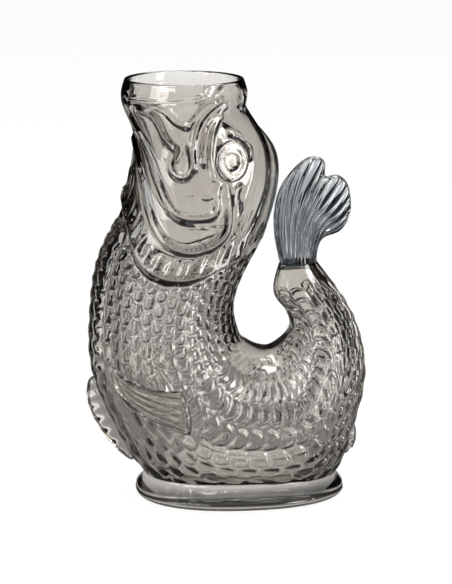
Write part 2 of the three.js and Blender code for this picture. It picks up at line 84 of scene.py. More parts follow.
# Ribs from the belly edge to the back edge, as shares. Across: of the belly's or the haunch's reach.
# Up: of the rise from the foot's top (belly edge) or the gap's floor (back edge) to the rim or, on the tail,
# to its joint. Depth: of the body's depth.
HEAD_RIBS = (
    ("neck", -0.755, 0.926, 0.045, 0.894, 0.745),
    ("throat", -0.706, 0.881, 0.114, 0.839, 0.74),
    ("cheek", -0.698, 0.818, 0.272, 0.742, 0.78),
    ("gill", -0.73, 0.746, 0.3, 0.627, 0.84),
    ("collar", -0.782, 0.674, 0.248, 0.516, 0.885),
    ("breast", -0.884, 0.602, 0.168, 0.41, 0.925),
    ("upper belly", -0.961, 0.521, 0.042, 0.298, 0.96),
    ("belly", -0.994, 0.419, -0.038, 0.18, 0.985),
    ("widest", -1, 0.314, -0.028, 0.106, 1),
    ("lower belly", -0.961, 0.237, 0, 0.059, 1),
    ("keel", -0.84, 0.127, 0.052, 0.031, 0.985),
)
# On these the belly edge's height is a share of the keel's dip
FOOT_RIBS = (
    ("front heel", -0.615, 0.1, 0.117, 0.012, 0.97),
    ("base", 0.026, 1, 0.195, 0, 0.95),
    ("rear heel", 0.74, 0.2, 0.266, 0.005, 0.9),
)
TAIL_RIBS = (
    ("lower haunch", 0.909, 0.206, 0.335, 0.088, 0.8),
    ("haunch", 1, 0.444, 0.378, 0.167, 0.67),
    ("upper haunch", 0.961, 0.643, 0.395, 0.275, 0.54),
    ("lower stem", 0.831, 0.817, 0.337, 0.47, 0.4),
    ("stem", 0.686, 0.937, 0.266, 0.667, 0.29),
)
RIB_NAMES = ["rim", "lip"] + [rib[0] for rib in HEAD_RIBS + FOOT_RIBS + TAIL_RIBS] + ["joint"]


def mix(low, high, share):
    return low + share * (high - low)


def smooth_step(share):
    """0 below 0, 1 above 1, and 3s^2 - 2s^3 between."""
    share = np.clip(share, 0, 1)
    return share * share * (3 - 2 * share)


def fish_outline():
    """Places of the ribs along the fish, by the mean way that both edges go, and the ribs: belly edge
    (x, z), back edge (x, z) and half depth."""
    def reach(share):
        return share * (-BODY_LOW[0] if share < 0 else BODY_HIGH[0])

    def level(middle, height, half_width, half_depth):
        outward = math.copysign(half_width, middle)
        return middle + outward, height, middle - outward, height, half_depth

    lip = RIM_RADIUS + LIP_SWELL
    ribs = [
        level(-RIM_AHEAD, RIM_TOP, RIM_RADIUS, RIM_RADIUS),
        level(-RIM_AHEAD, RIM_TOP - LIP_DROP, lip, lip),
    ]
    for rows, top in ((HEAD_RIBS, RIM_TOP), (FOOT_RIBS, RIM_TOP), (TAIL_RIBS, JOINT_HEIGHT)):
        for _, belly, belly_up, back, back_up, depth in rows:
            belly_top = FOOT_TOP - KEEL_DIP if rows is FOOT_RIBS else top
            belly_z = mix(FOOT_TOP, belly_top, belly_up)
            back_z = mix(GAP_FLOOR, top, back_up)
            ribs.append((reach(belly), belly_z, reach(back), back_z, depth * BODY_HIGH[1]))
    ribs.append(level(STEM_BACK, JOINT_HEIGHT, STEM_WIDTH / 2, STEM_DEPTH / 2))
    ribs = np.array(ribs)
    moves = np.diff(ribs, axis=0)
    steps = (np.hypot(moves[:, 0], moves[:, 1]) + np.hypot(moves[:, 2], moves[:, 3])) / 2
    return np.concatenate([[0], np.cumsum(steps)]), ribs


def smooth_curve(knots, values, places):
    """Natural cubic spline: a cubic between each two knots, with slopes and bends that agree at every
    knot and no bend at the ends."""
    knots, values, places = (np.asarray(given, float) for given in (knots, values, places))
    steps = np.diff(knots)
    slopes = np.diff(values, axis=0) / steps[:, None]
    inner = np.arange(1, len(knots) - 1)
    system = np.eye(len(knots))
    system[inner, inner - 1] = steps[:-1]
    system[inner, inner] = 2 * (steps[:-1] + steps[1:])
    system[inner, inner + 1] = steps[1:]
    target = np.zeros_like(values)
    target[1:-1] = 6 * np.diff(slopes, axis=0)
    bends = np.linalg.solve(system, target)
    span = np.clip(np.searchsorted(knots, places, side="right") - 1, 0, len(steps) - 1)
    ahead = (places - knots[span])[..., None]
    step = steps[span][..., None]
    low, high = bends[span], bends[span + 1]
    slope = slopes[span] - step * (2 * low + high) / 6
    return values[span] + ahead * (slope + ahead * (low / 2 + ahead * (high - low) / (6 * step)))


def curve_through(points, count):
    """A smooth curve through points, at equal shares of the way along its chords."""
    points = np.asarray(points, float)
    knots = np.concatenate([[0], np.cumsum(np.linalg.norm(np.diff(points, axis=0), axis=1))])
    return smooth_curve(knots, points, np.linspace(0, knots[-1], count))


PLACES, RIBS = fish_outline()


def place_of(name):
    return PLACES[RIB_NAMES.index(name)]


def skin(place, turn, inset=0.0, shrink=1.0):
    """The fish's bare skin. Each rib is an ellipse: middle + long half axis * cos(turn) in the fish's
    own plane and half depth * sin(turn) across it. The belly edge is at turn 0, the left flank's middle
    at three quarters."""
    rib = smooth_curve(PLACES, RIBS, place)
    middle = (rib[..., 0:2] + rib[..., 2:4]) / 2
    half = (rib[..., 0:2] - rib[..., 2:4]) / 2
    length = np.linalg.norm(half, axis=-1)
    long = (1 - inset / length) * shrink * np.cos(turn)
    deep = (rib[..., 4] - inset) * shrink * np.sin(turn)
    x = middle[..., 0] + half[..., 0] * long
    z = middle[..., 1] + half[..., 1] * long
    return np.stack(np.broadcast_arrays(x, deep, z), axis=-1)


def unit(vectors):
    return vectors / np.linalg.norm(vectors, axis=-1, keepdims=True)


def skin_normal(place, turn):
    """Outward normal of the bare skin: the cross product of its two slopes."""
    step = 1e-6
    by_place = skin(place + step, turn) - skin(place - step, turn)
    by_turn = skin(place, turn + step) - skin(place, turn - step)
    return unit(np.cross(by_turn, by_place))


def find_on_flank(x, z):
    """Place and turn of the left flank's skin that is seen at (x, z) from the side: Newton's steps on
    skin(), from the nearest point of a coarse grid."""
    x, z = np.asarray(x, float), np.asarray(z, float)
    places = np.linspace(PLACES[0], PLACES[-1], 200)
    turns = np.linspace(math.pi, 2 * math.pi, 64)[1:-1]
    grid = skin(places[:, None], turns[None, :])
    off = np.hypot(grid[..., 0].ravel() - x.ravel()[:, None], grid[..., 2].ravel() - z.ravel()[:, None])
    row, column = np.unravel_index(off.argmin(axis=1), grid.shape[:2])
    place, turn = places[row].reshape(x.shape), turns[column].reshape(x.shape)
    step = 1e-6
    for _ in range(6):
        here = skin(place, turn)
        by_place = (skin(place + step, turn) - here) / step
        by_turn = (skin(place, turn + step) - here) / step
        miss_x, miss_z = x - here[..., 0], z - here[..., 2]
        spread = by_place[..., 0] * by_turn[..., 2] - by_place[..., 2] * by_turn[..., 0]
        place = place + (miss_x * by_turn[..., 2] - miss_z * by_turn[..., 0]) / spread
        turn = turn + (by_place[..., 0] * miss_z - by_place[..., 2] * miss_x) / spread
        place = np.clip(place, PLACES[0], PLACES[-1])
        turn = np.clip(turn, turns[0], turns[-1])
    return place, turn


def over_flank(x, z, height, side):
    """Points at a height over the flank's skin, seen from the side at (x, z)."""
    place, turn = find_on_flank(x, z)
    points = skin(place, turn) + skin_normal(place, turn) * np.asarray(height)[..., None]
    points[..., 1] *= -side
    return points


def level_off(z, floor, round_by):
    """The greater of z and a floor, with the corner between them rounded: half of
    z + floor + hypot(z - floor, r)."""
    return (z + floor + np.hypot(z - floor, round_by)) / 2


# Meshes

COLUMNS_MERGED = 4  # points of a fine ring to each point of a coarse one


def side_faces(rows, columns, first=0):
    """Quads between neighbouring rings."""
    row, column = np.meshgrid(np.arange(rows - 1), np.arange(columns), indexing="ij")
    beside = (column + 1) % columns
    here, after = row * columns, (row + 1) * columns
    corners = (here + column, here + beside, after + beside, after + column)
    return np.stack(corners, axis=-1).reshape(-1, 4) + first


def cap_faces(columns, first):
    """A strip across a ring that starts at one of its tips: quads between the points that face each
    other, and a triangle at either tip."""
    half = columns // 2
    near = np.arange(1, half - 1)
    strip = np.stack([columns - near, columns - near - 1, near + 1, near], axis=-1)
    tips = np.array([[columns - 1, 1, 0], [half - 1, half + 1, half]])
    return strip + first, tips + first


def join_faces(fine_columns, first_fine, first_coarse):
    """Triangles between a ring and the next one, which has fewer points."""
    coarse_columns = fine_columns // COLUMNS_MERGED
    fine = np.arange(fine_columns)
    coarse = fine // COLUMNS_MERGED
    fine_beside = (fine + 1) % fine_columns
    fans = np.stack([first_fine + fine, first_fine + fine_beside, first_coarse + coarse], axis=-1)
    step = np.arange(coarse_columns)
    beside = (step + 1) % coarse_columns
    corner = first_fine + beside * COLUMNS_MERGED
    gaps = np.stack([corner, first_coarse + beside, first_coarse + step], axis=-1)
    return np.concatenate([fans, gaps])


def loft(rings):
    """Points, quads and triangles of a closed skin over rings."""
    rows, columns = rings.shape[:2]
    first_cap, first_tips = cap_faces(columns, 0)
    last_cap, last_tips = cap_faces(columns, (rows - 1) * columns)
    quads = np.concatenate([side_faces(rows, columns), first_cap, last_cap[:, ::-1]])
    return rings.reshape(-1, 3), quads, np.concatenate([first_tips, last_tips[:, ::-1]])


def double_loft(outer, inner):
    """Points, quads and triangles of a closed skin over fine outer rings that go on as coarse inner ones."""
    rows, columns = outer.shape[:2]
    inner_rows, inner_columns = inner.shape[:2]
    first_inner = rows * columns
    first_cap, first_tips = cap_faces(columns, 0)
    last_cap, last_tips = cap_faces(inner_columns, first_inner + (inner_rows - 1) * inner_columns)
    sides = side_faces(rows, columns)
    inner_sides = side_faces(inner_rows, inner_columns, first_inner)
    quads = np.concatenate([sides, inner_sides, first_cap, last_cap[:, ::-1]])
    join = join_faces(columns, (rows - 1) * columns, first_inner)
    points = np.concatenate([outer.reshape(-1, 3), inner.reshape(-1, 3)])
    return points, quads, np.concatenate([first_tips, join, last_tips[:, ::-1]])


def volume_of(points, quads):
    a, b, c, d = (points[quads[:, corner]] for corner in range(4))
    return (np.einsum("ij,ij->i", a, np.cross(b, c)) + np.einsum("ij,ij->i", a, np.cross(c, d))).sum() / 6


def make_piece(name, surface, material, nodes):
    """A closed smooth mesh, its faces outward, which stands for CAD nodes and rides on the one body."""
    points, quads, triangles = surface
    if volume_of(points, quads) < 0:
        quads, triangles = quads[:, ::-1], triangles[:, ::-1]
    corners = np.concatenate([quads.ravel(), triangles.ravel()])
    starts = np.concatenate([np.arange(len(quads)) * 4, len(quads) * 4 + np.arange(len(triangles)) * 3])
    mesh = bpy.data.meshes.new(name)
    mesh.vertices.add(len(points))
    mesh.vertices.foreach_set("co", points.astype(np.float32).ravel())
    mesh.loops.add(len(corners))
    mesh.loops.foreach_set("vertex_index", corners.astype(np.int32))
    mesh.polygons.add(len(starts))
    mesh.polygons.foreach_set("loop_start", starts.astype(np.int32))
    mesh.polygons.foreach_set("use_smooth", np.ones(len(starts), bool))
    mesh.update(calc_edges=True)
    if mesh.validate():
        raise RuntimeError(f"{name}: the mesh had bad faces")
    mesh.materials.append(material)
    piece = bpy.data.objects.new(name, mesh)
    bpy.context.scene.collection.objects.link(piece)
    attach(piece, "root")
    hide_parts(*nodes)
    return piece


# Relief of the body

def draped(points):
    """A curve over the left flank through points given as (x, z) in millimetres, as seen from the side."""
    curve = curve_through(np.array(points) * MM, 90)
    place, turn = find_on_flank(curve[:, 0], curve[:, 1])
    return skin(place, turn)


def distance_to(curve, points):
    """Distance from each point to the nearest point of a curve."""
    flat = points.reshape(-1, 3)
    nearest = np.full(len(flat), np.inf)
    for start, end in zip(curve[:-1], curve[1:]):
        along = end - start
        share = np.clip(((flat - start) @ along) / (along @ along), 0, 1)
        nearest = np.minimum(nearest, np.linalg.norm(flat - start - share[:, None] * along, axis=1))
    return nearest.reshape(points.shape[:-1])


# Folds of the head, as (x, z) from the side in millimetres, with the half width and the height of each fold
HEAD_FOLDS = (
    ("jaw", ((-62, 216), (-60, 202), (-57.5, 187.5), (-55, 175.5), (-51, 165), (-44.5, 158.5), (-35.5, 155.5),
             (-25.5, 157), (-18, 160.5), (-13, 166.5), (-11.5, 175), (-12, 185), (-13, 193)), 2.3, 2.1),
    ("cheek", ((-64, 229), (-59, 219), (-54.5, 208), (-52, 199), (-49, 190), (-46, 182.5), (-41.5, 177),
               (-34.5, 174.5), (-27, 174.5), (-20.5, 176.5), (-18.3, 182), (-18.3, 189),
               (-17, 194.5)), 2.2, 1.9),
    ("shelf", ((-45.5, 177.5), (-40, 173), (-32.5, 171), (-25, 169.5), (-17, 168.5)), 1.4, 0.6),
    ("left mouth fold", ((-61, 235), (-54.5, 233), (-49.5, 226), (-46, 219), (-42, 214.5)), 2.0, 1.9),
    ("upper lip, left", ((-54, 237.5), (-47, 235), (-41, 229), (-34.5, 226.5)), 1.6, 0.9),
    ("upper lip, right", ((-34.5, 226.5), (-30, 231.5), (-25, 237.5), (-19, 241)), 1.6, 1.2),
    ("lip", ((-68, 238.5), (-54.5, 239.5), (-41.5, 240.5), (-30.5, 241.5), (-20.5, 243)), 1.5, -1.0),
    ("mouth corner", ((-40.5, 213), (-43, 207), (-43, 201), (-39.5, 197.5), (-35, 198), (-32.3, 203),
                      (-32, 208.5), (-33.5, 215.5)), 1.7, 1.8),
    ("right mouth fold", ((-14.5, 241), (-23, 235), (-28, 228), (-30.5, 219), (-31, 210.5),
                          (-30.5, 202)), 1.7, 1.5),
    ("nostril fold", ((-12, 237.5), (-18.5, 231.5), (-23.5, 223), (-25.3, 213), (-26, 206)), 1.5, 1.3),
    ("orbit fold", ((-15, 232), (-19.5, 224), (-21.3, 215), (-21.5, 206), (-19, 196.5)), 1.6, 1.5),
    ("cheek drop", ((-26, 204.5), (-29, 198.5), (-28.5, 192), (-26, 187), (-22, 187), (-20, 192),
                    (-21, 198.5)), 2.1, 0.7),
    ("brow", ((-9, 221), (-2.7, 218), (1.3, 212.7), (1.6, 208)), 2.0, 1.8),
    ("ear slit", ((-4.8, 191.5), (-6.5, 185.5), (-5, 178.5)), 1.6, -1.4),
    ("temple", ((3, 231), (8.5, 222), (13, 212), (14.5, 201), (13, 188), (8.5, 176), (3, 165),
                (-3, 156)), 2.2, 1.4),
    ("ear band", ((4.5, 205), (3, 196), (-0.5, 187), (-2.5, 177), (-5.5, 166)), 1.9, 0.8),
    ("lip curl", ((-22.8, 248), (-24.7, 245.9), (-20.5, 243), (-16.2, 245.5), (-13.5, 247.5)), 1.3, 0.9),
)
# The gill cover's free edge, from the belly edge to the back edge
GILL_EDGE = ((-67.2, 187), (-68.2, 173), (-67.5, 163), (-65.5, 153), (-61, 145.5), (-52.3, 140), (-41.5, 138),
             (-30, 139.5), (-18, 144), (-7, 148.5), (2, 152.5), (9, 156))


def head_relief(points):
    """Sum of the folds, each a round cord: height * exp(-(distance / half width)^2)."""
    height = np.zeros(points.shape[:-1])
    for _, places, half_width, lift in HEAD_FOLDS:
        away = distance_to(draped(places), points) / (half_width * MM)
        height += lift * MM * np.exp(-away**2)
    return height


def from_belly(turn):
    """Turn counted from the belly edge, alike on both flanks."""
    around = np.mod(turn, 2 * math.pi)
    return np.minimum(around, 2 * math.pi - around)


def gill_place(turn):
    """Place along the fish of the gill cover's free edge at a turn, read off its curve."""
    curve = curve_through(np.array(GILL_EDGE) * MM, 200)
    place, curve_turn = find_on_flank(curve[:, 0], curve[:, 1])
    around = from_belly(curve_turn)
    order = np.argsort(around)
    return np.interp(from_belly(turn), around[order], place[order])


SCALE_PHASE = 0.7  # of the pitch, by which the scales' crests lie on those of the solid body


def scale_lanes(place, turn, lanes, sizes):
    """Height of lanes of overlapping scales, as a share of their rise, and the number of the scale in
    its lane. The lanes are counted from the belly edge on both flanks. Each scale climbs from under the
    one before it to its round free edge, towards the tail, and drops there. It falls off to the lane's
    sides by the cube of the way."""
    emerging, climbing, side_fall, round_share = 0.12, 0.65, 0.75, 0.97
    across = from_belly(turn) * lanes / (2 * math.pi) + 0.5
    lane = np.floor(across)
    off = 2 * (across - lane) - 1
    girth = np.interp(place, [place_of("lower haunch"), PLACES[-1]], [sizes.girth_radius, STEM_WIDTH / 2])
    half_width = 2 * math.pi * girth / lanes / 2
    bulge = half_width * sizes.scale_roundness * (1 - np.sqrt(1 - (round_share * off) ** 2))
    along = (place + bulge) / sizes.scale_pitch + (lane % 2) / 2 + SCALE_PHASE
    number = np.floor(along)
    share = along - number
    climb = mix(sizes.scale_base, 1, np.sin(math.pi / 2 * np.minimum(1, share / climbing)))
    drop = smooth_step((1 - share) / (sizes.scale_edge / sizes.scale_pitch))
    emerge = smooth_step(share / emerging)
    return climb * drop * emerge * (1 - side_fall * np.abs(off) ** 3), number


def belly_ribs(place, turn, sizes):
    """Height of the wavy ribs along the belly edge, as a share of the scales' rise: 1 - depth * |o|^3
    at a share o of the way from a rib's middle to its side, less a dip between one scale and the next
    along the rib."""
    wave = sizes.rib_wave * np.sin(2 * math.pi * (place / sizes.scale_pitch + SCALE_PHASE))
    across = from_belly(turn) * sizes.trunk_lanes / 2 / (2 * math.pi) + 0.5 + wave
    lane = np.floor(across)
    off = 2 * (across - lane) - 1
    dip = (1 - np.cos(2 * math.pi * (place / sizes.scale_pitch + lane / 2))) / 2
    return 1 - sizes.rib_depth * np.abs(off) ** 3 - sizes.rib_dip * dip


def scale_relief(place, turn, sizes):
    """Narrow lanes of scales on the trunk and just above the foot, lanes of twice the width below the
    trunk's last scales, and of four times the width towards the stem, with wavy ribs along the belly
    edge. The highest scales just reach the bare skin, and the rest lies under it."""
    small_soft, rib_soft = 0.15, 0.25
    narrow, number = scale_lanes(place, turn, sizes.trunk_lanes, sizes)
    wide, _ = scale_lanes(place, turn, sizes.trunk_lanes // 2, sizes)
    widest, wide_number = scale_lanes(place, turn, sizes.trunk_lanes // 4, sizes)
    last = round(place_of("keel") / sizes.scale_pitch)
    last_wide = round(place_of("upper haunch") / sizes.scale_pitch)
    around = from_belly(turn)
    coins = sizes.coin_rise * (np.where(wide_number < last_wide, wide, widest) - 1)
    small = smooth_step((sizes.small_reach - around) / small_soft)
    coins = mix(coins, sizes.coin_rise * (narrow - 1), small)
    scales = np.where(number < last, sizes.trunk_rise * (narrow - 1), coins)
    ribbed = smooth_step((sizes.rib_reach - around) / rib_soft)
    return sizes.scale_rise * mix(scales, belly_ribs(place, turn, sizes) - 1, ribbed)


def stretch(place, turn):
    """How far the skin goes on at a turn for each millimetre of the mean way: little inside the bend."""
    step = 1e-5
    return np.linalg.norm(skin(place + step, turn) - skin(place - step, turn), axis=-1) / (2 * step)


# The side fin's upper and lower edges, from its root, as (x, z) from the side in millimetres
FIN_TOP_EDGE = ((-78, 87), (-71, 81), (-63, 78), (-52, 75.5), (-39, 74.5))
FIN_LOW_EDGE = ((-78, 84), (-75, 74.5), (-69.5, 65.5), (-59.5, 57.5), (-48.5, 52.5), (-34.5, 47))


def under_side_fin(points):
    """1 on the flanks under the side fins, 0 outside them."""
    x, z = points[..., 0], points[..., 2]
    top, low = (np.array(edge) * MM for edge in (FIN_TOP_EDGE, FIN_LOW_EDGE))
    soft = 2 * MM
    below = smooth_step((np.interp(x, *top.T) - z) / soft + 0.5)
    above = smooth_step((z - np.interp(x, *low.T)) / soft + 0.5)
    end = np.interp(z, [low[-1, 1], top[-1, 1]], [low[-1, 0], top[-1, 0]])
    return below * above * smooth_step((end - x) / soft + 1) * smooth_step((x - top[0, 0]) / soft + 1)


def glass_wall(place, turn, sizes):
    """The wall's thickness: as thick as the round bead's foot at the rim, full a little further in, and
    thinner along the back edge by a bell curve."""
    rim_way, back_width = 20 * MM, 0.6
    from_back = math.pi - from_belly(turn)
    full = sizes.wall * (1 - sizes.back_thinning * np.exp(-((from_back / back_width) ** 2)))
    return mix(2 * sizes.bead, full, smooth_step((place - sizes.bead) / rim_way))


def behind_gill_cover(place, turn, on_left):
    """Millimetres from the gill cover's free edge, less than 0 on the head: the true distance from it
    down to the belly, and the way along the fish beyond."""
    behind = (place - gill_place(turn)) / MM
    near = place[:, 0] < place_of("belly")
    behind[near] = np.copysign(distance_to(draped(GILL_EDGE), on_left[near]) / MM, behind[near])
    return behind


def scaly_share(place, turn, bare, behind, sizes):
    """How high the scales rise, as a share. They fade out at the gill cover, the tail's joint, the back
    edge, the side fins, the tight inside of the bend and the foot, and a band above it is higher."""
    gill_end, gill_soft = 2, 2.5
    joint_end, joint_soft = 12 * MM, 14 * MM
    back_end, back_soft = 0.12, 0.25
    bend_end, bend_soft = 0.3, 0.5
    band_top, band_top_soft = 48 * MM, 12 * MM
    band_low, band_low_soft = 27 * MM, 6 * MM
    foot_end, foot_soft = FOOT_TOP - 1 * MM, 4 * MM
    z = bare[..., 2]
    share = smooth_step((behind - gill_end) / gill_soft) * (1 - under_side_fin(bare))
    share = share * smooth_step((PLACES[-1] - place - joint_end) / joint_soft)
    share = share * smooth_step((math.pi - from_belly(turn) - back_end) / back_soft)
    share = share * smooth_step((stretch(place, turn) - bend_end) / bend_soft)
    share = share * smooth_step((z - foot_end) / foot_soft)
    band = smooth_step((band_top - z) / band_top_soft) * smooth_step((z - band_low) / band_low_soft)
    return share * mix(1, sizes.low_rise, band)


def gill_relief(turn, bare, behind, sizes):
    """The gill cover's flap, which rises to its free edge and drops there, the groove behind it, which
    is wider and deeper towards the belly, and fine ribs inside the edge. Flap and groove run out at the
    nape and at the throat."""
    edge_half, flap_reach = 2, 6
    belly_from, belly_soft = -52 * MM, 12 * MM
    groove_start, groove_width, belly_width, belly_depth = 0.5, 2, 3.5, 1.4
    nape_end, nape_soft = 2 * MM, 9 * MM
    throat_end, throat_soft = 190 * MM, 6 * MM
    frill_from, frill_to, frill_soft = -13, -2.5, 3
    x, y, z = np.moveaxis(bare, -1, 0)
    rise = np.exp(np.minimum(behind + edge_half, 0) / flap_reach)
    flap = rise * smooth_step((edge_half - behind) / (2 * edge_half))
    bellyward = smooth_step((belly_from - x) / belly_soft)
    width = mix(groove_width, belly_width, bellyward)
    groove = mix(1, belly_depth, bellyward) * np.exp(-(((behind - groove_start) / width - 1) ** 2))
    edge = sizes.gill_rise * flap - sizes.gill_groove * groove
    edge = edge * smooth_step((nape_end - x) / nape_soft) * smooth_step((throat_end - z) / throat_soft)
    edge = edge * np.where(y > 0, sizes.far_gill, 1)
    inside = smooth_step((behind - frill_from) / frill_soft) * smooth_step((frill_to - behind) / frill_soft)
    return edge + sizes.frill_rise * np.cos(sizes.frill_ribs * turn) * inside


def head_folds(rings, sizes):
    """The folds on rings of the head: whole on the left, mirrored and lower on the right."""
    columns = rings.shape[1]
    left = np.arange(columns // 2, columns + 1) % columns
    folds = np.zeros(rings.shape[:2])
    folds[:, left] = head_relief(rings[:, left])
    folds[:, -left[1:-1]] = sizes.far_folds * folds[:, left[1:-1]]
    return folds


def outer_skin(turn, sizes):
    """Rings from the tail's joint to the rim: the bare skin, moved along its normal by the sum of all
    relief, which leaves a least wall over the hollow, and levelled off inside the foot."""
    place = np.linspace(PLACES[-1], sizes.bead, sizes.outer_rows)[:, None]
    bare = skin(place, turn)
    on_left = np.stack([bare[..., 0], -np.abs(bare[..., 1]), bare[..., 2]], axis=-1)
    behind = behind_gill_cover(place, turn, on_left)
    under_fin = distance_to(draped(FIN_LOW_EDGE), on_left) / sizes.fin_groove_width
    relief = scaly_share(place, turn, bare, behind, sizes) * scale_relief(place, turn, sizes)
    relief = relief + gill_relief(turn, bare, behind, sizes) - sizes.fin_groove * np.exp(-under_fin**2)
    on_head = place[:, 0] < place_of("belly")
    relief[on_head] += head_folds(bare[on_head], sizes)
    relief = np.maximum(relief, sizes.least_wall - glass_wall(place, turn, sizes))
    points = bare + skin_normal(place, turn) * relief[..., None]
    points[..., 2] = level_off(points[..., 2], FOOT_TOP - sizes.foot_bite, 1 * MM)
    return points


def rim_bead(turn, sizes):
    """Half round rings over the rim, from the outer skin to the inner one."""
    over = np.linspace(0, math.pi, 9)[1:-1, None]
    points = skin(np.full_like(over, sizes.bead), turn, inset=sizes.bead * (1 - np.cos(over)))
    points[..., 2] += sizes.bead * np.sin(over)
    return points


def inner_skin(turn, sizes):
    """Rings of the hollow: the bare skin drawn in by the wall, from the rim to a round end in the stem,
    and levelled off over the floor."""
    closes_from, closed = PLACES[-1] - 4.5 * MM, PLACES[-1] - 1.5 * MM
    down = np.linspace(sizes.bead, closes_from, sizes.inner_rows)[:, None]
    closing = np.linspace(0, math.pi / 2, 12)[1:-1, None]
    place = np.concatenate([down, mix(closes_from, closed, np.sin(closing))])
    shrink = np.concatenate([np.ones_like(down), np.cos(closing)])
    points = skin(place, turn, inset=glass_wall(place, turn, sizes), shrink=shrink)
    points[..., 2] = level_off(points[..., 2], FOOT_TOP + sizes.floor - sizes.foot_bite, 3 * MM)
    return points


def blown_body(sizes):
    """The closed glass skin: fine rings outside and over the rim, and coarse ones inside."""
    turn = np.linspace(0, 2 * math.pi, sizes.outer_columns, endpoint=False)[None, :]
    outer = np.concatenate([outer_skin(turn, sizes), rim_bead(turn, sizes)])
    return outer, inner_skin(turn[:, ::COLUMNS_MERGED], sizes)


def foot_rings(sizes):
    """Rings of a superellipse |x/a|^n + |y/b|^n = 1: a flat base that touches the table, a shallow
    bevel round it, a quarter round up to the widest line, and a flare that draws in to the body as
    3s^2 - 2s^3. A bell-shaped crease goes round the flare, higher at the sides than at the ends, and
    four upright mould marks notch the edge."""
    base_inset, side_part = 0.5, 0.3
    turn = np.linspace(0, 2 * math.pi, 360, endpoint=False)
    round_x = np.sign(np.cos(turn)) * np.abs(np.cos(turn)) ** (2 / sizes.fullness)
    round_y = np.sign(np.sin(turn)) * np.abs(np.sin(turn)) ** (2 / sizes.fullness)
    edge = sizes.edge_radius
    widest = sizes.bevel_rise + edge
    over = np.linspace(-math.pi / 2, 0, 12)
    share = np.linspace(0, 1, 22)[1:]
    flare = smooth_step(share)
    inset = edge * (1 - np.cos(over))
    end_inset, side_inset = (
        np.concatenate([[base_inset * half, sizes.bevel_width], inset, draw * flare])
        for half, draw in ((FOOT_HIGH[0], sizes.end_draw), (FOOT_HIGH[1], sizes.side_draw))
    )
    height = np.concatenate([[0, 0], widest + edge * np.sin(over), mix(widest, FOOT_TOP, share)])[:, None]
    crease_height = mix(sizes.crease_low, sizes.crease_high, np.sin(turn) ** 2)
    crease = np.exp(-(((height - crease_height) / sizes.crease_width) ** 2))
    drawn = 1 - sizes.crease_depth / FOOT_HIGH[1] * crease
    x = (FOOT_HIGH[0] - end_inset)[:, None] * round_x * drawn
    y = (FOOT_HIGH[1] - side_inset)[:, None] * round_y * drawn
    mark = np.exp(-(((np.abs(x) - sizes.mark_place) / sizes.mark_width) ** 2)) * (np.abs(round_y) > side_part)
    mark_top, mark_soft = 1.6 * widest, 0.5 * widest
    upright = smooth_step(height / widest) * smooth_step((mark_top - height) / mark_soft)
    y = y - np.sign(y) * sizes.mark_depth * mark * upright
    return np.stack(np.broadcast_arrays(x, y, height), axis=-1)


# Profile of an eye from the pupil's middle to under its rim: the way out, as a share of the eye's half width,
# and the height, as a share of its rise
EYE_PROFILE = (
    (0.02, 1), (0.1, 0.99), (0.2, 0.94), (0.3, 0.84), (0.36, 0.72), (0.42, 0.56), (0.48, 0.44), (0.54, 0.46),
    (0.62, 0.56), (0.7, 0.66), (0.78, 0.7), (0.86, 0.64), (0.93, 0.46), (0.98, 0.2), (1, -0.1), (0.95, -0.25),
    (0.6, -0.25), (0.1, -0.25),
)


def eye_rings(sizes, side):
    """Rings of an oval over the flank: a pupil dome, a groove round it, a rounded rim, and a base under
    the skin."""
    out, lift = np.array(EYE_PROFILE).T[..., None]
    turn = np.linspace(0, 2 * math.pi, 72, endpoint=False)
    x = -sizes.ahead + out * sizes.width / 2 * np.cos(turn)
    z = RIM_TOP - sizes.drop + out * sizes.length / 2 * np.sin(turn)
    return over_flank(x, z, np.broadcast_to(lift * sizes.rise, x.shape), side)


def side_fin_rings(sizes, side):
    """Rings across a leaf that lies on the flank between two edges: bell-shaped rolls along both edges
    and the blunt end, and ribs cos(2 pi n v) that run out from the root between them, over a base just
    under the skin."""
    bow_share, flat, rib_rise = 0.06, 0.5, 0.16
    top_roll, top_place, low_roll, low_place, roll_width = 1.3, 0.08, 1.4, 0.9, 0.08
    roll_share, end_share, end_place, end_width = 0.95, 0.8, 0.93, 0.04
    end_round, root_way, root_share = 0.06, 0.12, 0.35
    sunk, base = 0.4 * MM, 0.6 * MM
    share = np.linspace(0, 1, 70)[:, None]
    over = np.linspace(0, 1, 61)[None, :]
    top = curve_through(np.array(FIN_TOP_EDGE) * MM, 70)[:, None]
    low = curve_through(np.array(FIN_LOW_EDGE) * MM, 70)[:, None]
    spot = mix(top, low, over[..., None])
    bow = bow_share * sizes.length * np.sin(math.pi * over) * share**2
    x = spot[..., 0] + bow * math.cos(sizes.droop)
    z = spot[..., 1] - bow * math.sin(sizes.droop)
    rib = flat + rib_rise * share * np.cos(2 * math.pi * sizes.ribs * over)
    rolls = top_roll * np.exp(-(((over - top_place) / roll_width) ** 2))
    rolls = rolls + low_roll * np.exp(-(((over - low_place) / roll_width) ** 2))
    end_roll = np.exp(-(((share - end_place) / end_width) ** 2))
    edges = np.sqrt(np.clip(1 - (2 * over - 1) ** 10, 0, 1)) * np.sqrt(np.clip((1 - share) / end_round, 0, 1))
    rise = sizes.thickness * np.maximum(rib, np.maximum(roll_share * rolls, end_share * end_roll)) * edges
    upper = over_flank(x, z, rise * smooth_step(share / root_way + root_share) - sunk, side)
    under = over_flank(x, z, np.full_like(x, -base), side)
    return np.concatenate([upper, under[:, ::-1]], axis=1)


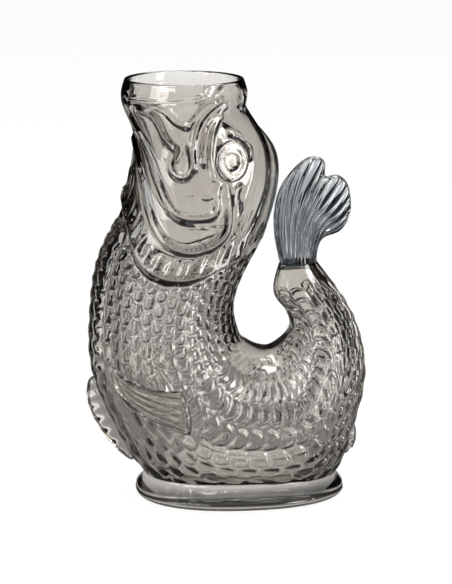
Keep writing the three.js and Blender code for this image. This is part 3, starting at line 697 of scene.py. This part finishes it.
def edge_fin_rings(sizes, start, end, height, rays):
    """Rings across a thin flange along the belly edge: it stands off by a height that swells and fades
    along it as a power of a sine, with scallops and ripples of its rays, and thins from root to tip."""
    scallop_depth, ripple_depth, least, power, sunk = 0.03, 0.07, 0.2, 0.8, -1 * MM
    share = np.linspace(0, 1, 16 * rays + 1)
    place = mix(start, end, share)
    step = 0.5 * MM
    edge = skin(place, 0.0)
    along = unit(skin(place + step, 0.0) - skin(place - step, 0.0))
    outward = np.stack([along[:, 2], np.zeros_like(share), -along[:, 0]], axis=-1)
    outward *= np.sign((outward * skin_normal(place, np.zeros_like(place))).sum(-1, keepdims=True))
    ray = np.cos(2 * math.pi * rays * share)
    swell = np.sin(math.pi * share**power) ** power
    stand = height * mix(least, 1, swell) * (1 - scallop_depth * (1 - ray) / 2)
    turn = np.linspace(0, 2 * math.pi, 24, endpoint=False)
    reach = (1 - np.cos(turn)) / 2
    ripple = 1 + ripple_depth * ray[:, None] * np.sin(math.pi * reach)
    points = edge[:, None] + outward[:, None] * mix(sunk, stand[:, None], reach)[..., None]
    points[..., 1] = mix(sizes.root, sizes.tip, reach) / 2 * np.sin(turn) * ripple
    return points


def tail_fan_rings(sizes):
    """A Coons patch between a front edge, a rear edge, the joint and a notched top edge: the sum of its
    two ruled sheets, less the bilinear sheet through the corners. Its thickness swells in rays that fan
    out from the stem."""
    root = JOINT_HEIGHT - 1.5 * MM
    height = TAIL_FIN_HIGH[2] - JOINT_HEIGHT
    front_width, rear_width = STEM_BACK - TAIL_FIN_LOW[0], TAIL_FIN_HIGH[0] - STEM_BACK

    def spots(*shares):
        x, up = np.array(shares).T
        width = np.where(x < 0, front_width, rear_width)
        return np.stack([STEM_BACK + x * width, JOINT_HEIGHT + up * height], axis=-1)

    up = np.linspace(0, 1, 60)[:, None, None]
    over = np.linspace(0, 1, 121)[None, :, None]
    root_front = np.array([STEM_BACK - STEM_WIDTH / 2, root])
    root_rear = np.array([STEM_BACK + STEM_WIDTH / 2, root])
    front_edge = spots((-0.96, 0.22), (-1, 0.42), (-0.86, 0.64), (-0.58, 0.78))
    rear_edge = spots((0.36, 0.12), (0.46, 0.22), (0.74, 0.27), (0.93, 0.37))
    top_edge = spots((-0.58, 0.78), (-0.06, 0.92), (0.3, 1), (0.49, 0.95), (0.52, 0.81), (0.69, 0.82),
                     (0.89, 0.77), (0.99, 0.62), (1, 0.48), (0.93, 0.37))
    front = curve_through([root_front, *front_edge], 60)[:, None]
    rear = curve_through([root_rear, *rear_edge], 60)[:, None]
    top = curve_through(top_edge, 121)[None]
    low = mix(root_front, root_rear, over)
    high = mix(top[:, :1], top[:, -1:], over)
    sheet = mix(front, rear, over) + mix(low, top, up) - mix(low, high, up)

    full, oval = 6, 2
    roll_place, roll_width, roll_end, roll_soft = 0.08, 0.05, 0.85, 0.3
    up, over = up[..., 0], over[..., 0]
    stem = (1 - up) ** 2
    half = mix(sizes.thickness, STEM_DEPTH, stem) / 2
    roundness = mix(full, oval, stem)
    taper = mix(sizes.edge / sizes.thickness, 1, np.sqrt(1 - up**4))
    profile = (1 - np.abs(2 * over - 1) ** roundness) ** (1 / roundness)
    groove = sizes.ray_depth * (1 - stem) * taper * ((1 - np.cos(2 * math.pi * sizes.rays * over)) / 2) ** 2
    roll = np.exp(-(((over - roll_place) / roll_width) ** 2)) * smooth_step((roll_end - up) / roll_soft)
    deep = profile * (half * taper - groove + sizes.roll_rise * roll)
    near = np.stack([sheet[..., 0], -deep, sheet[..., 1]], axis=-1)
    far = near * np.array([1, -1, 1])
    return np.concatenate([near, far[:, -2:0:-1]], axis=1)


# Materials

class Socket:
    """An output socket. Its sums and products add Math nodes, and node() adds any other node to the tree."""

    def __init__(self, tree, output=None):
        self.tree = tree
        self.output = output

    def node(self, kind, settings=None, inputs=None, output=0):
        made = self.tree.nodes.new(kind)
        for name, value in (settings or {}).items():
            setattr(made, name, value)
        for name, value in (inputs or {}).items():
            if isinstance(value, Socket):
                self.tree.links.new(value.output, made.inputs[name])
            else:
                made.inputs[name].default_value = value
        return Socket(self.tree, made.outputs[output] if len(made.outputs) else None)

    def math(self, operation, left, right):
        return self.node("ShaderNodeMath", {"operation": operation}, {0: left, 1: right})

    def __add__(self, other):
        return self.math("ADD", self, other)

    def __radd__(self, other):
        return self.math("ADD", other, self)

    def __mul__(self, other):
        return self.math("MULTIPLY", self, other)

    def __rmul__(self, other):
        return self.math("MULTIPLY", other, self)


def empty_tree(owner):
    owner.use_nodes = True
    owner.node_tree.nodes.clear()
    return Socket(owner.node_tree)


def glass(name, colour, density, look):
    """Fire-polished glass: clear inside but for its absorption, with faint streaks of colour, a
    slightly uneven gloss and shallow ripples left by the mould."""
    material = bpy.data.materials.new(name)
    tree = empty_tree(material)
    place = tree.node("ShaderNodeTexCoord", output="Object")
    streaks = tree.node("ShaderNodeTexNoise", inputs={"Vector": place, "Scale": 28, "Detail": 3})
    clear, streaked = (1, 1, 1, 1), (0.96, 0.95, 0.93, 1)
    tint = tree.node("ShaderNodeMix", {"data_type": "RGBA"}, {"Factor": streaks, 6: clear, 7: streaked}, 2)
    haze = tree.node("ShaderNodeTexNoise", inputs={"Vector": place, "Scale": 90, "Detail": 2})
    ripple = tree.node("ShaderNodeTexNoise", inputs={
        "Vector": place, "Scale": look.ripple_scale, "Detail": 2})
    bump = tree.node("ShaderNodeBump", inputs={
        "Strength": look.ripple, "Distance": 0.4 * MM, "Height": ripple})
    surface = tree.node("ShaderNodeBsdfPrincipled", inputs={
        "Base Color": tint, "Roughness": look.roughness * (0.5 + haze), "IOR": look.ior,
        "Transmission Weight": 1.0, "Normal": bump,
    })
    volume = tree.node("ShaderNodeVolumeAbsorption", inputs={"Color": (*colour, 1), "Density": density})
    tree.node("ShaderNodeOutputMaterial", inputs={"Surface": surface, "Volume": volume})
    return material


def seen_through(tree):
    """1 for rays that show the background: from the camera, mirrored or through glass."""
    path = tree.tree.nodes.new("ShaderNodeLightPath")
    kinds = ("Is Camera Ray", "Is Glossy Ray", "Is Transmission Ray")
    straight, mirrored, through = (Socket(tree.tree, path.outputs[kind]) for kind in kinds)
    return tree.node("ShaderNodeClamp", inputs={"Value": straight + mirrored + through})


def floor_material(look):
    material = bpy.data.materials.new("floor paper")
    tree = empty_tree(material)
    paper = tree.node("ShaderNodeBsdfDiffuse", inputs={"Color": (0.9, 0.9, 0.9, 1)})
    white = tree.node("ShaderNodeEmission", inputs={"Color": (1, 1, 1, 1), "Strength": 1.0})
    shown = seen_through(tree) * look.floor_glow
    both = tree.node("ShaderNodeMixShader", inputs={0: shown, 1: paper, 2: white})
    tree.node("ShaderNodeOutputMaterial", inputs={"Surface": both})
    return material


def flag_material(look):
    material = bpy.data.materials.new("black flag cloth")
    tree = empty_tree(material)
    cloth = tree.node("ShaderNodeEmission", inputs={"Color": (0.5, 0.5, 0.5, 1), "Strength": look.flag_level})
    tree.node("ShaderNodeOutputMaterial", inputs={"Surface": cloth})
    return material


def painted_shade_sheet(name, half_widths, near, far, levels, back=0):
    """A glowing sheet of painted shade, whose tone goes from one level to another between two shares of an
    oval's half widths. The oval's middle can lie behind the origin."""
    material = bpy.data.materials.new(name)
    tree = empty_tree(material)
    place = tree.node("ShaderNodeTexCoord", output="Object")
    shrink = (1 / half_widths[0], 1 / half_widths[1], 0)
    maths = "ShaderNodeVectorMath"
    moved = tree.node(maths, {"operation": "SUBTRACT"}, {0: place, 1: (0, back, 0)}, "Vector")
    oval = tree.node(maths, {"operation": "MULTIPLY"}, {0: moved, 1: shrink}, "Vector")
    radius = tree.node(maths, {"operation": "LENGTH"}, {0: oval}, "Value")
    level = tree.node("ShaderNodeMapRange", {"interpolation_type": "SMOOTHSTEP"}, {
        "Value": radius, "From Min": near, "From Max": far, "To Min": levels[0], "To Max": levels[1]})
    # painted shade: the sheet glows at its level, darker where the foot's shadow is painted
    paper = tree.node("ShaderNodeEmission", inputs={"Color": level, "Strength": 1.0})
    tree.node("ShaderNodeOutputMaterial", inputs={"Surface": paper})
    return material


# Settings

def length(name, description, default):
    return FloatProperty(name=name, description=description, default=default, min=0, unit="LENGTH",
                         precision=4)


def amount(name, description, default):
    return FloatProperty(name=name, description=description, default=default, min=0)


def angle(name, description, degrees):
    return FloatProperty(name=name, description=description, default=math.radians(degrees), subtype="ANGLE")


def count(name, description, default):
    return IntProperty(name=name, description=description, default=default, min=1)


def light_passed(name, description, default):
    return FloatVectorProperty(name=name, description=description, default=default, size=3, subtype="COLOR",
                               min=0, max=1)


class CarafeBody(bpy.types.PropertyGroup):
    wall: length("Wall", "Thickness of the blown wall", 5 * MM)
    back_thinning: amount("Back thinning", "Share of the wall missing on the back edge", 0.32)
    least_wall: length("Least wall", "Glass left between the deepest grooves and the hollow", 1.4 * MM)
    bead: length("Bead", "Radius of the rim's round edge", 1.2 * MM)
    floor: length("Floor", "Glass under the water", 2 * MM)
    foot_bite: length("Foot bite", "How deep the body sinks into the foot", 1.5 * MM)
    girth_radius: length("Girth radius", "Mean radius of the trunk, by which scales are round", 46 * MM)
    scale_pitch: length("Scale pitch", "Way between two scales of one lane", 8.9 * MM)
    scale_rise: length("Scale rise", "How far a scale's free edge stands up", 2.1 * MM)
    scale_base: amount("Scale base", "Height of a scale's base, as a share of its rise", 0.65)
    scale_edge: length("Scale edge", "Way over which a free edge drops", 1.7 * MM)
    scale_roundness: amount("Scale roundness", "Bulge of a free edge, as a share of a half circle's", 0.9)
    trunk_lanes: count("Trunk lanes", "Lanes of scales round the trunk", 40)
    trunk_rise: amount("Trunk rise", "Rise of the trunk's scales, as a share", 0.95)
    coin_rise: amount("Coin rise", "Rise of the wide scales, as a share", 1.1)
    fin_groove: length("Fin groove", "Depth of the groove along the side fins' lower edges", 2 * MM)
    fin_groove_width: length("Fin groove width", "Half width of that groove", 1.8 * MM)
    low_rise: amount("Low rise", "Rise of the scales near the foot, as a share", 2.0)
    small_reach: amount("Small reach", "Belly edge to the end of the small low scales, as a turn", 1.42)
    rib_reach: amount("Rib reach", "Belly edge to the end of the wavy ribs, as a turn", 0.7)
    rib_depth: amount("Rib depth", "Depth between the ribs, as a share of the scales' rise", 1.7)
    rib_dip: amount("Rib dip", "Dips along the ribs, as a share of the scales' rise", 0.28)
    rib_wave: amount("Rib wave", "How far the ribs wave, as a share of their width", 0.07)
    gill_groove: length("Gill groove", "Depth of the groove behind the gill covers", 2 * MM)
    gill_rise: length("Gill rise", "How far the gill cover's edge stands up", 3.6 * MM)
    frill_rise: length("Frill rise", "Height of the ribs inside the gill cover's edge", 0.5 * MM)
    frill_ribs: count("Frill ribs", "Those ribs, counted round the fish", 36)
    far_gill: amount("Far gill", "Height of the right gill cover's edge, as a share", 0.3)
    far_folds: amount("Far folds", "Height of the right cheek's folds, as a share of the left one's", 0.3)
    outer_rows: count("Outer rows", "Rings of the outer skin", 380)
    outer_columns: count("Outer columns", "Points round the outer skin, a multiple of 8", 240)
    inner_rows: count("Inner rows", "Rings of the inner skin", 70)


class CarafeFoot(bpy.types.PropertyGroup):
    edge_radius: length("Edge radius", "Rounding of the widest edge", 3.5 * MM)
    bevel_width: length("Bevel width", "Edge to the part of the base that touches the table", 12 * MM)
    bevel_rise: length("Bevel rise", "How far the bevel round the base rises to the edge", 1.2 * MM)
    end_draw: length("End draw", "How far the ends draw in towards the top", 6 * MM)
    side_draw: length("Side draw", "How far the sides draw in towards the top", 12 * MM)
    crease_low: length("Crease low", "Height of the crease at the ends", 5 * MM)
    crease_high: length("Crease high", "Height of the crease at the sides", 8.5 * MM)
    crease_width: length("Crease width", "Half width of the crease", 0.8 * MM)
    crease_depth: length("Crease depth", "Depth of the crease", 1 * MM)
    mark_place: length("Mark place", "Foot's middle to the mould marks", 38 * MM)
    mark_width: length("Mark width", "Half width of a mould mark", 0.8 * MM)
    mark_depth: length("Mark depth", "Depth of a mould mark", 0.5 * MM)
    fullness: amount("Fullness", "Power of the oval's outline", 2.3)


class CarafeTailFan(bpy.types.PropertyGroup):
    thickness: length("Thickness", "Thickness of the spread lobes", 12 * MM)
    edge: length("Edge", "Thickness of the fan's rim", 3 * MM)
    ray_depth: length("Ray depth", "Depth of the grooves between the rays", 1.6 * MM)
    rays: count("Rays", "Number of rays", 12)
    roll_rise: length("Roll rise", "How far the front edge's roll stands up", 1.5 * MM)


class CarafeSideFins(bpy.types.PropertyGroup):
    length: length("Length", "Root to the blunt end", 47 * MM)
    thickness: length("Thickness", "How far the fin stands off the flank", 2.6 * MM)
    droop: angle("Droop", "Slope below level", 25)
    ribs: count("Ribs", "Ribs along the fin", 5)


class CarafeEdgeFins(bpy.types.PropertyGroup):
    belly_height: length("Belly fin height", "How far the belly fin stands off", 9 * MM)
    belly_rays: count("Belly rays", "Rays of the belly fin", 7)
    anal_height: length("Anal fin height", "How far the anal fin stands off", 5 * MM)
    anal_rays: count("Anal rays", "Rays of the anal fin", 4)
    root: length("Root", "Thickness at the body", 7 * MM)
    tip: length("Tip", "Thickness at the free edge", 4 * MM)


class CarafeEyes(bpy.types.PropertyGroup):
    width: length("Width", "Along the fish's back and belly", 20 * MM)
    length: length("Length", "Up and down", 24 * MM)
    rise: length("Rise", "How far the pupil stands off the cheek", 2.6 * MM)
    ahead: length("Ahead", "Foot's middle to the eye", 9 * MM)
    drop: length("Drop", "Rim to the eye", 44 * MM)


class CarafeGlass(bpy.types.PropertyGroup):
    smoke: light_passed("Smoke", "Light that passes the smoke-grey glass", (0.585, 0.545, 0.495))
    smoke_density: amount("Smoke density", "Absorption per metre", 150)
    foot_density: amount("Foot density", "Absorption per metre", 34)
    tail: light_passed("Tail", "Light that passes the tail fan's glass", (0.5, 0.54, 0.57))
    tail_density: amount("Tail density", "Absorption per metre", 175)
    ior: amount("IOR", "Refractive index of soda glass", 1.5)
    roughness: amount("Roughness", "Mean roughness of the polish", 0.015)
    ripple: amount("Ripple", "Strength of the mould's ripples", 0.12)
    ripple_scale: amount("Ripple scale", "Ripples per metre", 160)


class CarafeStage(bpy.types.PropertyGroup):
    azimuth: angle("Azimuth", "Camera's way round", -7)
    elevation: angle("Elevation", "Camera over the horizon", 12.2)
    distance: length("Distance", "Camera to the aim", 1450 * MM)
    aim: FloatVectorProperty(name="Aim", description="Point in the picture's middle", size=3, unit="LENGTH",
                             default=(-8 * MM, 0, 122.3 * MM))
    lens: amount("Lens", "Focal length on a sensor 36 mm high, in mm", 151.06)
    floor_glow: amount("Floor glow", "Share of plain white in the floor", 0.9)
    flag_level: amount("Flag level", "Brightness of the black flags", 0.02)
    floor_bite: length("Floor bite", "Reach of the floor into the foot, so that no air is between", 0.05 * MM)
    # The papers under and round the foot are glowing sheets of painted shade that only the glass shows
    under_gap: length("Under gap", "Foot's edge to the papers under it and round it", 0.5 * MM)
    under_white: amount("Under white", "White share of the foot's base", 0.3)
    under_back: length("Under back", "How far the white of the foot's base lies behind its middle", 14 * MM)
    under_dark: amount("Under dark", "Share of the foot's base inside the dark", 0.82)
    under_length: amount("Under length", "Length of that shade's oval, as a share", 1.6)
    # painted shade round the foot: the grey disc's tone near the foot and where it turns white
    shade_disc_level: amount("Grey level", "Tone of the grey disc near the foot", 0.36)
    shade_disc_near: length("Grey near", "Foot's middle to where the grey disc starts to turn white", 150 * MM)
    shade_disc_far: length("Grey far", "Foot's middle to where the grey disc is white", 420 * MM)
    lane_width: length("Lane width", "Width of the two lanes in line with the camera", 190 * MM)
    lane_spread: angle("Lane spread", "Angle by which those two widen to either side", 18)
    side_width: length("Side width", "Width of the six other lanes", 160 * MM)
    side_spread: angle("Side spread", "Angle by which the six widen to either side", 1)
    card_length: length("Card length", "Length of the lying cards", 1900 * MM)
    ring_radius: length("Ring radius", "Carafe to the dark ring", 2200 * MM)
    ring_low: length("Ring low", "Table to the dark ring", 4 * MM)
    ring_top: length("Ring top", "Table to the top of the dark ring", 3000 * MM)
    world_level: amount("World level", "Light from all round", 0.75)


class CarafeSettings(bpy.types.PropertyGroup):
    body: PointerProperty(type=CarafeBody)
    foot: PointerProperty(type=CarafeFoot)
    tail_fan: PointerProperty(type=CarafeTailFan)
    side_fins: PointerProperty(type=CarafeSideFins)
    edge_fins: PointerProperty(type=CarafeEdgeFins)
    eyes: PointerProperty(type=CarafeEyes)
    glass: PointerProperty(type=CarafeGlass)
    stage: PointerProperty(type=CarafeStage)


def smoke_glass(settings):
    look = settings.glass
    return bpy.data.materials.get("smoke glass") or glass("smoke glass", look.smoke, look.smoke_density, look)


def foot_glass(settings):
    look = settings.glass
    return glass("foot glass", look.smoke, look.foot_density, look)


def tail_glass(settings):
    look = settings.glass
    return glass("tail glass", look.tail, look.tail_density, look)


# Operators

class CARAFE_OT_body(bpy.types.Operator):
    """Blow the hollow, scaly body"""
    bl_idname = "carafe.body"
    bl_label = "Blow the body"

    def execute(self, context):
        settings = context.scene.carafe
        surface = double_loft(*blown_body(settings.body))
        make_piece("blown_body", surface, smoke_glass(settings), ["body"])
        return {"FINISHED"}


class CARAFE_OT_foot(bpy.types.Operator):
    """Press the oval foot"""
    bl_idname = "carafe.foot"
    bl_label = "Press the foot"

    def execute(self, context):
        settings = context.scene.carafe
        make_piece("foot_pad", loft(foot_rings(settings.foot)), foot_glass(settings), ["foot"])
        return {"FINISHED"}


class CARAFE_OT_tail_fan(bpy.types.Operator):
    """Pinch the solid tail fin"""
    bl_idname = "carafe.tail_fan"
    bl_label = "Pinch the tail fin"

    def execute(self, context):
        settings = context.scene.carafe
        rings = tail_fan_rings(settings.tail_fan)
        make_piece("tail_fan", loft(rings), tail_glass(settings), ["tail_fin"])
        return {"FINISHED"}


class CARAFE_OT_side_fins(bpy.types.Operator):
    """Lay a ribbed fin on each flank"""
    bl_idname = "carafe.side_fins"
    bl_label = "Lay the side fins"

    def execute(self, context):
        settings = context.scene.carafe
        for word, side in (("left", LEFT), ("right", RIGHT)):
            rings = side_fin_rings(settings.side_fins, side)
            nodes = [f"pectoral_fin_{word}"]
            make_piece(f"side_fin_{word}", loft(rings), smoke_glass(settings), nodes)
        return {"FINISHED"}


class CARAFE_OT_edge_fins(bpy.types.Operator):
    """Set the flanges on the belly edge, ahead of the foot and behind it"""
    bl_idname = "carafe.edge_fins"
    bl_label = "Set the edge fins"

    def execute(self, context):
        settings = context.scene.carafe
        sizes = settings.edge_fins
        keel, heel = place_of("lower belly"), place_of("front heel")
        belly = edge_fin_rings(sizes, keel - 2 * MM, heel - 8 * MM, sizes.belly_height, sizes.belly_rays)
        make_piece("belly_flange", loft(belly), smoke_glass(settings), ["belly_fin"])
        rear, haunch = place_of("rear heel"), place_of("lower haunch")
        anal = edge_fin_rings(sizes, mix(rear, haunch, 0.42), haunch, sizes.anal_height, sizes.anal_rays)
        make_piece("tail_flange", loft(anal), smoke_glass(settings), ["anal_fin"])
        return {"FINISHED"}


class CARAFE_OT_eyes(bpy.types.Operator):
    """Set a ringed, domed eye on each cheek"""
    bl_idname = "carafe.eyes"
    bl_label = "Set the eyes"

    def execute(self, context):
        settings = context.scene.carafe
        for word, side in (("left", LEFT), ("right", RIGHT)):
            rings = eye_rings(settings.eyes, side)
            make_piece(f"eye_dome_{word}", loft(rings), smoke_glass(settings), [f"eye_{word}"])
        return {"FINISHED"}


def stage_piece(name, points, faces, material):
    """A flat piece of the stage."""
    mesh = bpy.data.meshes.new(name)
    mesh.from_pydata(np.asarray(points).tolist(), [], faces)
    mesh.materials.append(material)
    piece = bpy.data.objects.new(name, mesh)
    bpy.context.scene.collection.objects.link(piece)
    return piece


def level_oval(half_widths, height):
    """Points of a level oval about the origin."""
    turn = np.linspace(0, 2 * math.pi, 96, endpoint=False)
    x, y = half_widths[0] * np.cos(turn), half_widths[1] * np.sin(turn)
    return np.stack([x, y, np.full_like(turn, height)], axis=-1)


def for_glass_only(piece):
    """Leaves a stage piece out of all but what is seen in and through the glass."""
    piece.visible_camera = False
    piece.visible_diffuse = False
    piece.visible_shadow = False


class CARAFE_OT_stage(bpy.types.Operator):
    """Lay the white floor, the glowing sheets of painted shade and the black cards, and place the lamps and
    the camera
    """
    bl_idname = "carafe.stage"
    bl_label = "Dress the stage"

    def execute(self, context):
        look = context.scene.carafe.stage
        scene = context.scene
        floor = level_oval((FLOOR_RADIUS, FLOOR_RADIUS), look.floor_bite)
        stage_piece("floor", floor, [list(range(len(floor)))], floor_material(look))
        self.lay_painted_shades(look)
        self.set_flags(look)
        self.set_world(scene, look)
        self.set_lamps(scene)
        self.set_camera(scene, look)
        scene.view_settings.view_transform = "Standard"
        scene.cycles.max_bounces = 24
        scene.cycles.transmission_bounces = 24
        scene.cycles.glossy_bounces = 8
        return {"FINISHED"}

    def lay_painted_shades(self, look):
        """Two glowing sheets of painted shade on the table that only the glass shows. Under the foot the
        sheet turns dark towards the foot's edge, a painted shadow where no light comes in from below, and
        round the foot it is grey, a painted shade of the foot's shadow, and turns to white farther out."""
        hole = 0.02
        base = FOOT_HIGH[:2] - look.under_gap
        oval = (look.under_length * base[0], base[1] + look.under_back)
        # painted shadow under the foot: the floor's white in its middle, down to the black flags' level at
        # its edge
        tones = (look.floor_glow, look.flag_level)
        shade = painted_shade_sheet("shade under the foot", oval, look.under_white, look.under_dark, tones,
                             look.under_back)
        # painted shade round the foot: grey near it and white farther out, for the foot's shadow on the table
        grey = painted_shade_sheet("painted shade round the foot", (1, 1), look.shade_disc_near, look.shade_disc_far, (look.shade_disc_level, 1))
        for name, outside, inside, height, paper in (
            ("painted_shade_under_foot", base, hole * base, 2 * look.floor_bite, shade),
            ("painted_shade_disc", (look.shade_disc_far, look.shade_disc_far), FOOT_HIGH[:2] + look.under_gap, 1 * MM, grey),
        ):
            ovals = np.concatenate([level_oval(outside, height), level_oval(inside, height)])
            for_glass_only(stage_piece(name, ovals, side_faces(2, len(ovals) // 2).tolist(), paper))

    def set_flags(self, look):
        """Black cards round the carafe that only the glass shows. Eight white lanes run out from it
        over the floor: those towards the camera and away from it widen on their way, the six others
        hardly do, and cards cover the wedges between them. Far off stands a dark ring of eight cards."""
        cloth = flag_material(look)
        lanes = 8
        step = 2 * math.pi / lanes
        up = np.array([0, 0, 1])
        lift = 2 * MM * up

        def toward(bearing):
            return np.array([math.sin(bearing), math.cos(bearing), 0])

        for index in range(lanes):
            middle = -look.azimuth + (index + 0.5) * step
            ways = [toward(middle + side * step / 2) for side in (-1, 1)]
            wide = [lane % (lanes // 2) == 0 for lane in (index, index + 1)]
            widths = [look.lane_width if is_wide else look.side_width for is_wide in wide]
            spreads = [look.lane_spread if is_wide else look.side_spread for is_wide in wide]
            sideways = [[way[1], -way[0]] for way in ways]
            apex = np.append(np.linalg.solve(sideways, [widths[0] / 2, -widths[1] / 2]), 0)
            left = apex + look.card_length * toward(middle - step / 2 + spreads[0])
            right = apex + look.card_length * toward(middle + step / 2 - spreads[1])
            lying = [corner + lift for corner in (apex, right, left)]
            for_glass_only(stage_piece(f"card_on_floor_{index}", lying, [[0, 1, 2]], cloth))
            low = [look.ring_radius * way + look.ring_low * up for way in ways]
            high = [look.ring_radius * way + look.ring_top * up for way in ways]
            for_glass_only(stage_piece(f"dark_ring_{index}", low + high[::-1], [[0, 1, 2, 3]], cloth))

    def set_world(self, scene, look):
        world = bpy.data.worlds.new("studio")
        scene.world = world
        tree = empty_tree(world)
        shown = seen_through(tree)
        level = look.world_level + (1 - look.world_level) * shown
        back = tree.node("ShaderNodeBackground", inputs={"Color": (1, 1, 1, 1), "Strength": level})
        tree.node("ShaderNodeOutputWorld", inputs={"Surface": back})

    def set_lamps(self, scene):
        lamps = (
            ("key softbox", (-0.7, -0.9, 1.1), 0.6, 0.6, 11),
            ("left strip", (-1.0, -0.55, 0.42), 0.4, 0.8, 6),
            ("right strip", (0.8, -0.8, 0.42), 0.4, 0.8, 14),
            ("top softbox", (0.2, 0.35, 1.2), 0.7, 0.7, 20),
        )
        target = Vector((0, 0, 0.12))
        for name, place, width, height, power in lamps:
            lamp = bpy.data.lights.new(name, "AREA")
            lamp.shape = "RECTANGLE"
            lamp.size, lamp.size_y, lamp.energy = width, height, power
            holder = bpy.data.objects.new(name, lamp)
            holder.location = place
            holder.rotation_euler = (target - Vector(place)).to_track_quat("-Z", "Y").to_euler()
            scene.collection.objects.link(holder)

    def set_camera(self, scene, look):
        lens = bpy.data.cameras.new("camera")
        lens.sensor_fit = "VERTICAL"
        lens.sensor_height = 36
        lens.lens = look.lens
        camera = bpy.data.objects.new("camera", lens)
        level = math.cos(look.elevation)
        back_x, back_y = math.sin(look.azimuth) * level, -math.cos(look.azimuth) * level
        back = Vector((back_x, back_y, math.sin(look.elevation)))
        camera.location = Vector(look.aim) + back * look.distance
        camera.rotation_euler = (-back).to_track_quat("-Z", "Y").to_euler()
        scene.collection.objects.link(camera)
        scene.camera = camera


class CARAFE_PT_panel(bpy.types.Panel):
    """Lists the carafe's pieces"""
    bl_idname = "CARAFE_PT_panel"
    bl_label = "Glass fish carafe"
    bl_space_type = "VIEW_3D"
    bl_region_type = "UI"
    bl_category = "Carafe"

    def draw(self, context):
        for operator in OPERATORS:
            self.layout.operator(operator.bl_idname)


OPERATORS = (
    CARAFE_OT_body,
    CARAFE_OT_foot,
    CARAFE_OT_tail_fan,
    CARAFE_OT_side_fins,
    CARAFE_OT_edge_fins,
    CARAFE_OT_eyes,
    CARAFE_OT_stage,
)
CLASSES = (
    CarafeBody,
    CarafeFoot,
    CarafeTailFan,
    CarafeSideFins,
    CarafeEdgeFins,
    CarafeEyes,
    CarafeGlass,
    CarafeStage,
    CarafeSettings,
    *OPERATORS,
    CARAFE_PT_panel,
)


def register():
    for made in CLASSES:
        bpy.utils.register_class(made)
    bpy.types.Scene.carafe = PointerProperty(type=CarafeSettings)


def unregister():
    del bpy.types.Scene.carafe
    for made in reversed(CLASSES):
        bpy.utils.unregister_class(made)


def main():
    register()
    bpy.ops.carafe.body()
    bpy.ops.carafe.foot()
    bpy.ops.carafe.tail_fan()
    bpy.ops.carafe.side_fins()
    bpy.ops.carafe.edge_fins()
    bpy.ops.carafe.eyes()
    bpy.ops.carafe.stage()


if __name__ == "__main__":
    main()
